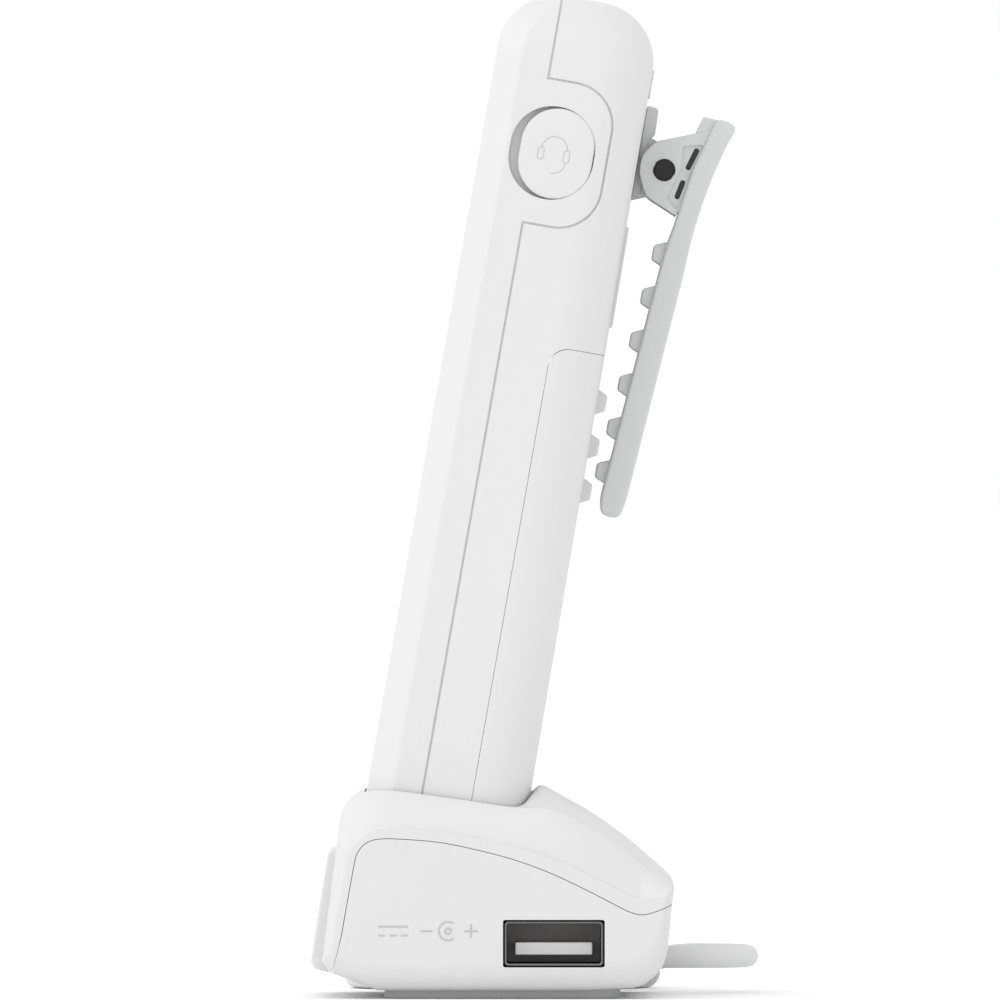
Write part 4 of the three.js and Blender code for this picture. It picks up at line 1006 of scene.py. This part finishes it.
def foot_pads():
    """Two rubber pads with a rounded lower edge."""
    for side in SIDES:
        low, high = cad_box("base_pad_" + side)
        middle, size = (low + high) / 2, high - low

        def ring(inset, z):
            o = rounded(middle[0], middle[1], size[0] - 2 * inset, size[1] - 2 * inset, 3, 8)
            return lay(o, z, 2)

        levels = [(0, 0.35), (0.1, 0.1), (0.35, 0), (1.35, 0)]
        piece = cap(f"foot_pad_{side}", ring, levels, level)
        dress(piece, "base", "rubber", ["base_pad_" + side])


def usb_port():
    """The receptacle: a metal box open to the side, its tongue and the tongue's contacts."""
    face = CRADLE_HALF - 0.3
    outer = rounded(PORT_Y, PORT_Z, 13.3, 6.0, 0.5, 4)
    shell = across("usb_shell_box", outer, face - 12.3, face, level)
    inner = rounded(PORT_Y, PORT_Z, 12.7, 5.4, 0.35, 4)
    carve(shell, [across("mouth", inner, face - 11.3, face + 2, level)])
    # The box takes the darker steel: painted shade inside the port.
    dress(shell, "base", "dark_steel", ["usb_port_shell"], 0.12)
    tongue = rounded(PORT_Y, PORT_Z - 0.7, 10.4, 1.7, 0.2, 4)
    block = across("usb_tongue_bar", tongue, face - 11.2, face - 2.2, level)
    dress(block, "base", "tongue", ["usb_port_tongue"], 0.15)
    for i in range(4):
        y = PORT_Y + (i - 1.5) * 2.3
        strip = rounded(y, PORT_Z + 0.1, 1.1, 0.12, 0.03, 2)
        contact = across(f"usb_contact_{i}", strip, face - 11, face - 4, level)
        dress(contact, "base", "gold")


def rating_mark():
    """A generic direct-current sign, a bar over three dashes, and a polarity sign."""
    x, z, thick = CRADLE_HALF + 0.02, 9.2, 0.14
    lines = [[(-19.6, z + 0.6), (-15.6, z + 0.6)]]
    lines += [[(y, z - 0.6), (y + 0.9, z - 0.6)] for y in (-19.6, -18.05, -16.5)]
    lines += [[(-13.9, z), (-12.3, z)], [(-8, z), (-6.2, z)], [(-7.1, z - 0.9), (-7.1, z + 0.9)]]
    for i, line in enumerate(lines):
        path = lay(np.linspace(*line, 4), x, 0)
        stroke(f"rating_line_{i}", path, thick, level, "base", "mark")
    for i, (radius, start, stop) in enumerate(((1.25, 0.3, 1.7), (0.4, 0, 2))):
        t = np.linspace(start * math.pi, stop * math.pi, 28, endpoint=start > 0)
        path = [(x, -10.2 + radius * math.cos(a), z + radius * math.sin(a)) for a in t]
        stroke(f"rating_ring_{i}", path, thick, level, "base", "mark",
               closed=start == 0)


# ---------------------------------------------------------------- the power cord
def coil_route():
    """The coil's turns, clockwise from above. Turn k keeps its radius and shifts by a cord's
    width over its last sixth; after each four turns it climbs a layer and winds back. The last
    turn rises to the plug."""
    last = COIL_TURNS - 1
    plan = []
    for layer in range(4):
        plan += [(r, COIL_FOOT + 2 * CORD_RADIUS * layer) for r in COIL_RADII[::(-1) ** layer]]
    plan = np.array(plan[:COIL_TURNS] + [plan[last]])
    turns = np.linspace(0, COIL_TURNS - 27 / 360, COIL_TURNS * 40)
    k = np.minimum(turns.astype(int), last)
    shift = eased((turns - k) * 6 - 5)[:, None]
    where = plan[k] * (1 - shift) + plan[k + 1] * shift
    off = eased((turns - (last + 260 / 360)) / (73 / 360))
    radius = where[:, 0] * (1 - off) + math.hypot(*PLUG_END) * off
    z = where[:, 1] * (1 - off) + PLUG_HEIGHT * off
    angle = -2 * math.pi * turns
    x = COIL_CENTRE[0] + radius * np.cos(angle)
    y = COIL_CENTRE[1] + radius * np.sin(angle)
    return np.stack([x, y, z], -1)


def power_cord():
    """The whole cord as one curve: out of the cradle, into the coil, and up to the plug."""
    lead = smooth([(CORD_X, 18.2, CORD_Z)] + LEAD_ROUTE + [(-37, 4, 1.58), (-37, 0, 1.55)], 80)
    tail = smooth(TAIL_ROUTE + [(-52, -7.2, 16.45)], 40)
    route = np.concatenate([lead, coil_route()[3:-2], tail]) * MM
    curve = bpy.data.curves.new("power_cord", "CURVE")
    curve.dimensions = "3D"
    curve.bevel_depth = CORD_RADIUS * MM
    curve.bevel_resolution = 4
    curve.use_fill_caps = True
    spline = curve.splines.new("POLY")
    spline.points.add(len(route) - 1)
    spline.points.foreach_set("co", np.column_stack([route, np.ones(len(route))]).ravel())
    piece = put("power_cord", curve)
    curve.materials.append(FINISHES["jacket"])
    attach(piece, "base")
    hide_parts("cord_lead", "cord_coil", "cord_tail")
    return piece


def cord_grommet():
    """The grommet: a sleeve round the cord, its outer end following the cradle's rear."""
    outline = circle(CORD_X, CORD_Z, GROMMET_RADIUS, 40)
    sleeve = through("cord_grommet_sleeve", outline, 15.5, 22, level)
    carve(sleeve, [cradle_solid("limit")], "INTERSECT")
    bore = circle(CORD_X, CORD_Z, CORD_RADIUS + 0.04, 32)
    carve(sleeve, [through("bore", bore, 10, 24, level)])
    dress(sleeve, "base", "jacket", ["cord_grommet"])


def cord_tie():
    """A flat tie round one side of the coil: a rounded loop with a thin section."""
    low, high = cad_box("cord_tie")
    middle, size = (low + high) / 2, high - low
    loop, hole = (rounded(middle[1], middle[2], size[1] - less, size[2] - less, radius, 8)
                  for less, radius in ((0, 2.2), (1.4, 1.6)))
    x0, x1 = low[0], high[0]
    ring = np.stack([lay(o, x, 0) for o, x in ((loop, x0), (loop, x1), (hole, x1), (hole, x0))], 1)
    piece = torus_like("cord_tie_band", ring, level)
    return dress(piece, "base", "clip", ["cord_tie"], 0.12)


def plug_pieces():
    """The plug: a soft body with a tapered end where the cord enters, and its metal shell."""
    low, high = cad_box("plug_body")
    y, z = (low[1:] + high[1:]) / 2
    width, thick = (high - low)[1:]

    def ring(inset, x):
        shrink = np.clip(1 - inset, 0.05, 1)
        o = rounded(y, z, 2 + (width - 2) * shrink, 1.6 + (thick - 1.6) * shrink, 3.2 * shrink, 8)
        return lay(o, x, 0)

    taper = [(high[0] - 5.5 * v, 0.78 * (1 - eased(v))) for v in np.linspace(0, 1, 14)]
    ends = [(low[0] + 0.5, 0.0), (low[0] + 0.15, 0.03), (low[0], 0.07)]
    body = cap("plug_grip", ring, taper + ends, level)
    dress(body, "base", "jacket", ["plug_body"])
    low, high = cad_box("plug_shell")
    outer = rounded(y, z, 12, 4.5, 0.4, 4)
    shell = across("plug_sleeve", outer, low[0], high[0] + 0.3, level)
    inner = rounded(y, z, 11.3, 3.8, 0.3, 4)
    cutters = [across("mouth", inner, low[0] - 2, high[0] - 1, level)]
    for side in (-1, 1):
        cutters.append(upright("window", rounded(low[0] + 5.4, y + side * 2.6, 2.2, 2.4, 0.2, 3),
                               z + 1, z + 6, level))
    carve(shell, cutters)
    dress(shell, "base", "steel", ["plug_shell"], 0.1)
    bar = across("plug_insulator", rounded(y, z - 0.95, 11.1, 1.7, 0.2, 3), low[0] + 0.6,
                 high[0] - 0.5, level)
    dress(bar, "base", "tongue", edge=0.08)
    return [body, shell, bar]


# ---------------------------------------------------------------- settings and operators
COLOUR = {"subtype": "COLOR", "size": 3, "min": 0, "max": 1}


class PhoneColours(bpy.types.PropertyGroup):
    """Colours of the mouldings."""

    shell: bpy.props.FloatVectorProperty(
        name="Shells", description="Handset shells", default=(0.68, 0.68, 0.68), **COLOUR)
    cradle: bpy.props.FloatVectorProperty(
        # Painted shade: the cradle's default is a shade darker than the shells', so that the cradle reads as less
        # lit.
        name="Cradle", description="Cradle shells", default=(0.67, 0.67, 0.67), **COLOUR)
    clip: bpy.props.FloatVectorProperty(
        name="Belt clip", description="Belt clip and its bracket", default=(0.58, 0.583, 0.586),
        **COLOUR)
    keys: bpy.props.FloatVectorProperty(
        name="Keys", description="Keypad and side keys", default=(0.55, 0.555, 0.56), **COLOUR)
    cord: bpy.props.FloatVectorProperty(
        name="Cord", description="Power cord and plug", default=(0.68, 0.68, 0.682),
        **COLOUR)


class PhoneStage(bpy.types.PropertyGroup):
    """The floor, the lights and the camera."""

    distance: bpy.props.FloatProperty(
        name="Distance", description="Camera to the object's middle", unit="LENGTH",
        min=0.3, default=4.0)
    eye: bpy.props.FloatProperty(
        name="Eye height", description="Camera above the floor", unit="LENGTH", default=0.0745)
    lens: bpy.props.FloatProperty(
        name="Lens", description="Focal length", unit="CAMERA", min=10, default=1062)
    key: bpy.props.FloatProperty(
        name="Key light", description="Strength of the light from the front", min=0, default=0.9)
    sky: bpy.props.FloatProperty(
        name="Surround", description="Strength of the white surround", min=0, default=1.0)


class PHONE_OT_stage(bpy.types.Operator):
    """Camera, floor, surround and soft lights"""

    bl_idname = "phone.stage"
    bl_label = "Stage"

    def execute(self, context):
        scene = context.scene
        stage = scene.phone_stage
        middle = Vector((0.015, -0.0032, 0.0672))
        data = bpy.data.cameras.new("camera")
        data.lens = stage.lens
        data.clip_end = 50
        camera = put("camera", data)
        camera.location = (stage.distance, middle.y, stage.eye)
        camera.rotation_euler = (middle - camera.location).to_track_quat("-Z", "Y").to_euler()
        scene.camera = camera
        world = bpy.data.worlds.new("surround")
        world.use_nodes = True
        background = world.node_tree.nodes["Background"]
        background.inputs["Color"].default_value = (1, 1, 1, 1)
        background.inputs["Strength"].default_value = stage.sky
        scene.world = world
        scene.view_settings.view_transform = "Standard"
        far = 30
        corners = [(-far, -far, 0), (far, -far, 0), (far, far, 0), (-far, far, 0)]
        floor = add_mesh("floor", corners, [[0, 1, 2, 3]])
        floor.data.materials.append(grained("pale_floor", (0.98, 0.98, 0.98), 0.6, grain=60,
                                            height=0.001, drift=0.004))
        light = bpy.data.lights.new("key_light", "SUN")
        light.energy = stage.key
        light.angle = math.radians(70)
        lamp = put("key_light", light)
        lamp.location = (0.43, -0.55, 0.72)
        lamp.rotation_euler = (-lamp.location).to_track_quat("-Z", "Y").to_euler()
        return {"FINISHED"}


class PHONE_OT_cord(bpy.types.Operator):
    """Power cord with its coil, tie and plug"""

    bl_idname = "phone.cord"
    bl_label = "Power cord"

    def execute(self, context):
        make_finishes(context.scene.phone_colours)
        cord = power_cord()
        pieces = [cord_tie(), *plug_pieces()]
        return {"FINISHED"}


class PHONE_OT_handset(bpy.types.Operator):
    """Handset shells, battery cover, inlay strip and display"""

    bl_idname = "phone.handset"
    bl_label = "Handset shells"

    def execute(self, context):
        front_housing()
        rear_housing()
        battery_cover()
        strip = strip_solid("rear_strip", 0)
        dress(strip, "handset", "panel", ["rear_inlay"], 0.2)
        speaker_grille()
        display()
        headset_cover()
        return {"FINISHED"}


class PHONE_OT_keys(bpy.types.Operator):
    """Keypad, navigation ring, OK key and volume rocker"""

    bl_idname = "phone.keys"
    bl_label = "Keys"

    def execute(self, context):
        marks = {"key_star": "*", "key_pound": "#"}
        places = key_places()
        for name, (x, z, width, height) in places.items():
            piece = key_cap(name, x, z, width, height)
            dress(piece, name, "key", [name])
            text = marks.get(name, name[-1] if name[-1].isdigit() else "")
            if text:
                legend(name + "_legend", text, x, z, 3.6, name, "legend")
        for name, finish in (("talk_key", "talk"), ("end_key", "end")):
            x, z = places[name][:2]
            t = np.linspace(0.15, 0.85, 14) * math.pi
            bow = [(x - 2 * math.cos(a), FACE_Y - BOW_OUT, z - 0.9 + 1.5 * math.sin(a)) for a in t]
            stroke(name + "_bow", bow, 0.3, stand, name, finish)
        for name in ("soft_key_" + side for side in SIDES):
            x, z = places[name][:2]
            dash = [(x + d, FACE_Y - DASH_OUT, z) for d in (-1.5, -0.5, 0.5, 1.5)]
            stroke(name + "_dash", dash, 0.2, stand, name, "legend")
        nav_ring()
        ok_key()
        self.rocker()
        return {"FINISHED"}

    def rocker(self):
        """The rocker: an obround bar in the left side, with a lip behind the wall."""
        def ring(inset, out):
            o = rounded(ROCKER_Y, ROCKER_Z, 3.6 - 2 * inset, 15.4 - 2 * inset, 1.8 - inset, 8)
            return lay(o, -HALF - out, 0)

        levels = [(-2.9, -0.9), (-2.1, -0.9), (-2.099, 0)] + crown(0.5, 0.4, 0.1, 1.1)
        piece = cap("volume_rocker_bar", ring, levels, stand)
        dress(piece, "volume_rocker", "key", ["volume_rocker"])


class PHONE_OT_clip(bpy.types.Operator):
    """Belt clip, its bracket, pin and spring"""

    bl_idname = "phone.clip"
    bl_label = "Belt clip"

    def execute(self, context):
        clip_arm()
        clip_bracket()
        clip_spring()
        return {"FINISHED"}


class PHONE_OT_cradle(bpy.types.Operator):
    """Cradle shells, front panel, foot pads, USB port and rating mark"""

    bl_idname = "phone.cradle"
    bl_label = "Cradle"

    def execute(self, context):
        cradle_shells()
        front_panel()
        foot_pads()
        usb_port()
        cord_grommet()
        rating_mark()
        return {"FINISHED"}


class PHONE_OT_hardware(bpy.types.Operator):
    """Finishes of the pieces whose own solids stay in view"""

    bl_idname = "phone.hardware"
    bl_label = "Inner parts"

    FINISH = {
        "steel": "steel", "contact_gold": "gold", "circuit_board": "board",
        "black_plastic": "black", "cord_jacket": "jacket",
    }

    def execute(self, context):
        slots = {row["node"]: row["material_slot"] for row in frame["record"]["subparts"]}
        for name, node in frame["nodes"].items():
            finish = self.FINISH.get(slots[name])
            if finish:
                node.data.materials.clear()
                node.data.materials.append(FINISHES[finish])
        return {"FINISHED"}


class PHONE_PT_panel(bpy.types.Panel):
    """Buttons for each group of pieces, and the settings"""

    bl_label = "Phone"
    bl_idname = "PHONE_PT_panel"
    bl_space_type = "VIEW_3D"
    bl_region_type = "UI"
    bl_category = "Phone"

    def draw(self, context):
        layout = self.layout
        for operator in OPERATORS:
            layout.operator(operator.bl_idname)
        for group in (context.scene.phone_colours, context.scene.phone_stage):
            for name in group.__annotations__:
                layout.prop(group, name)


OPERATORS = (PHONE_OT_stage, PHONE_OT_cord, PHONE_OT_handset, PHONE_OT_keys, PHONE_OT_clip,
             PHONE_OT_cradle, PHONE_OT_hardware)
CLASSES = (PhoneColours, PhoneStage, *OPERATORS, PHONE_PT_panel)


def register():
    """Adds the classes and the scene's settings."""
    for cls in CLASSES:
        bpy.utils.register_class(cls)
    bpy.types.Scene.phone_colours = bpy.props.PointerProperty(type=PhoneColours)
    bpy.types.Scene.phone_stage = bpy.props.PointerProperty(type=PhoneStage)


def unregister():
    """Takes them away again."""
    del bpy.types.Scene.phone_stage
    del bpy.types.Scene.phone_colours
    for cls in reversed(CLASSES):
        bpy.utils.unregister_class(cls)


def main():
    """Builds everything in order."""
    register()
    bpy.ops.phone.stage()
    bpy.ops.phone.cord()
    bpy.ops.phone.handset()
    bpy.ops.phone.keys()
    bpy.ops.phone.clip()
    bpy.ops.phone.cradle()
    bpy.ops.phone.hardware()


if __name__ == "__main__":
    main()
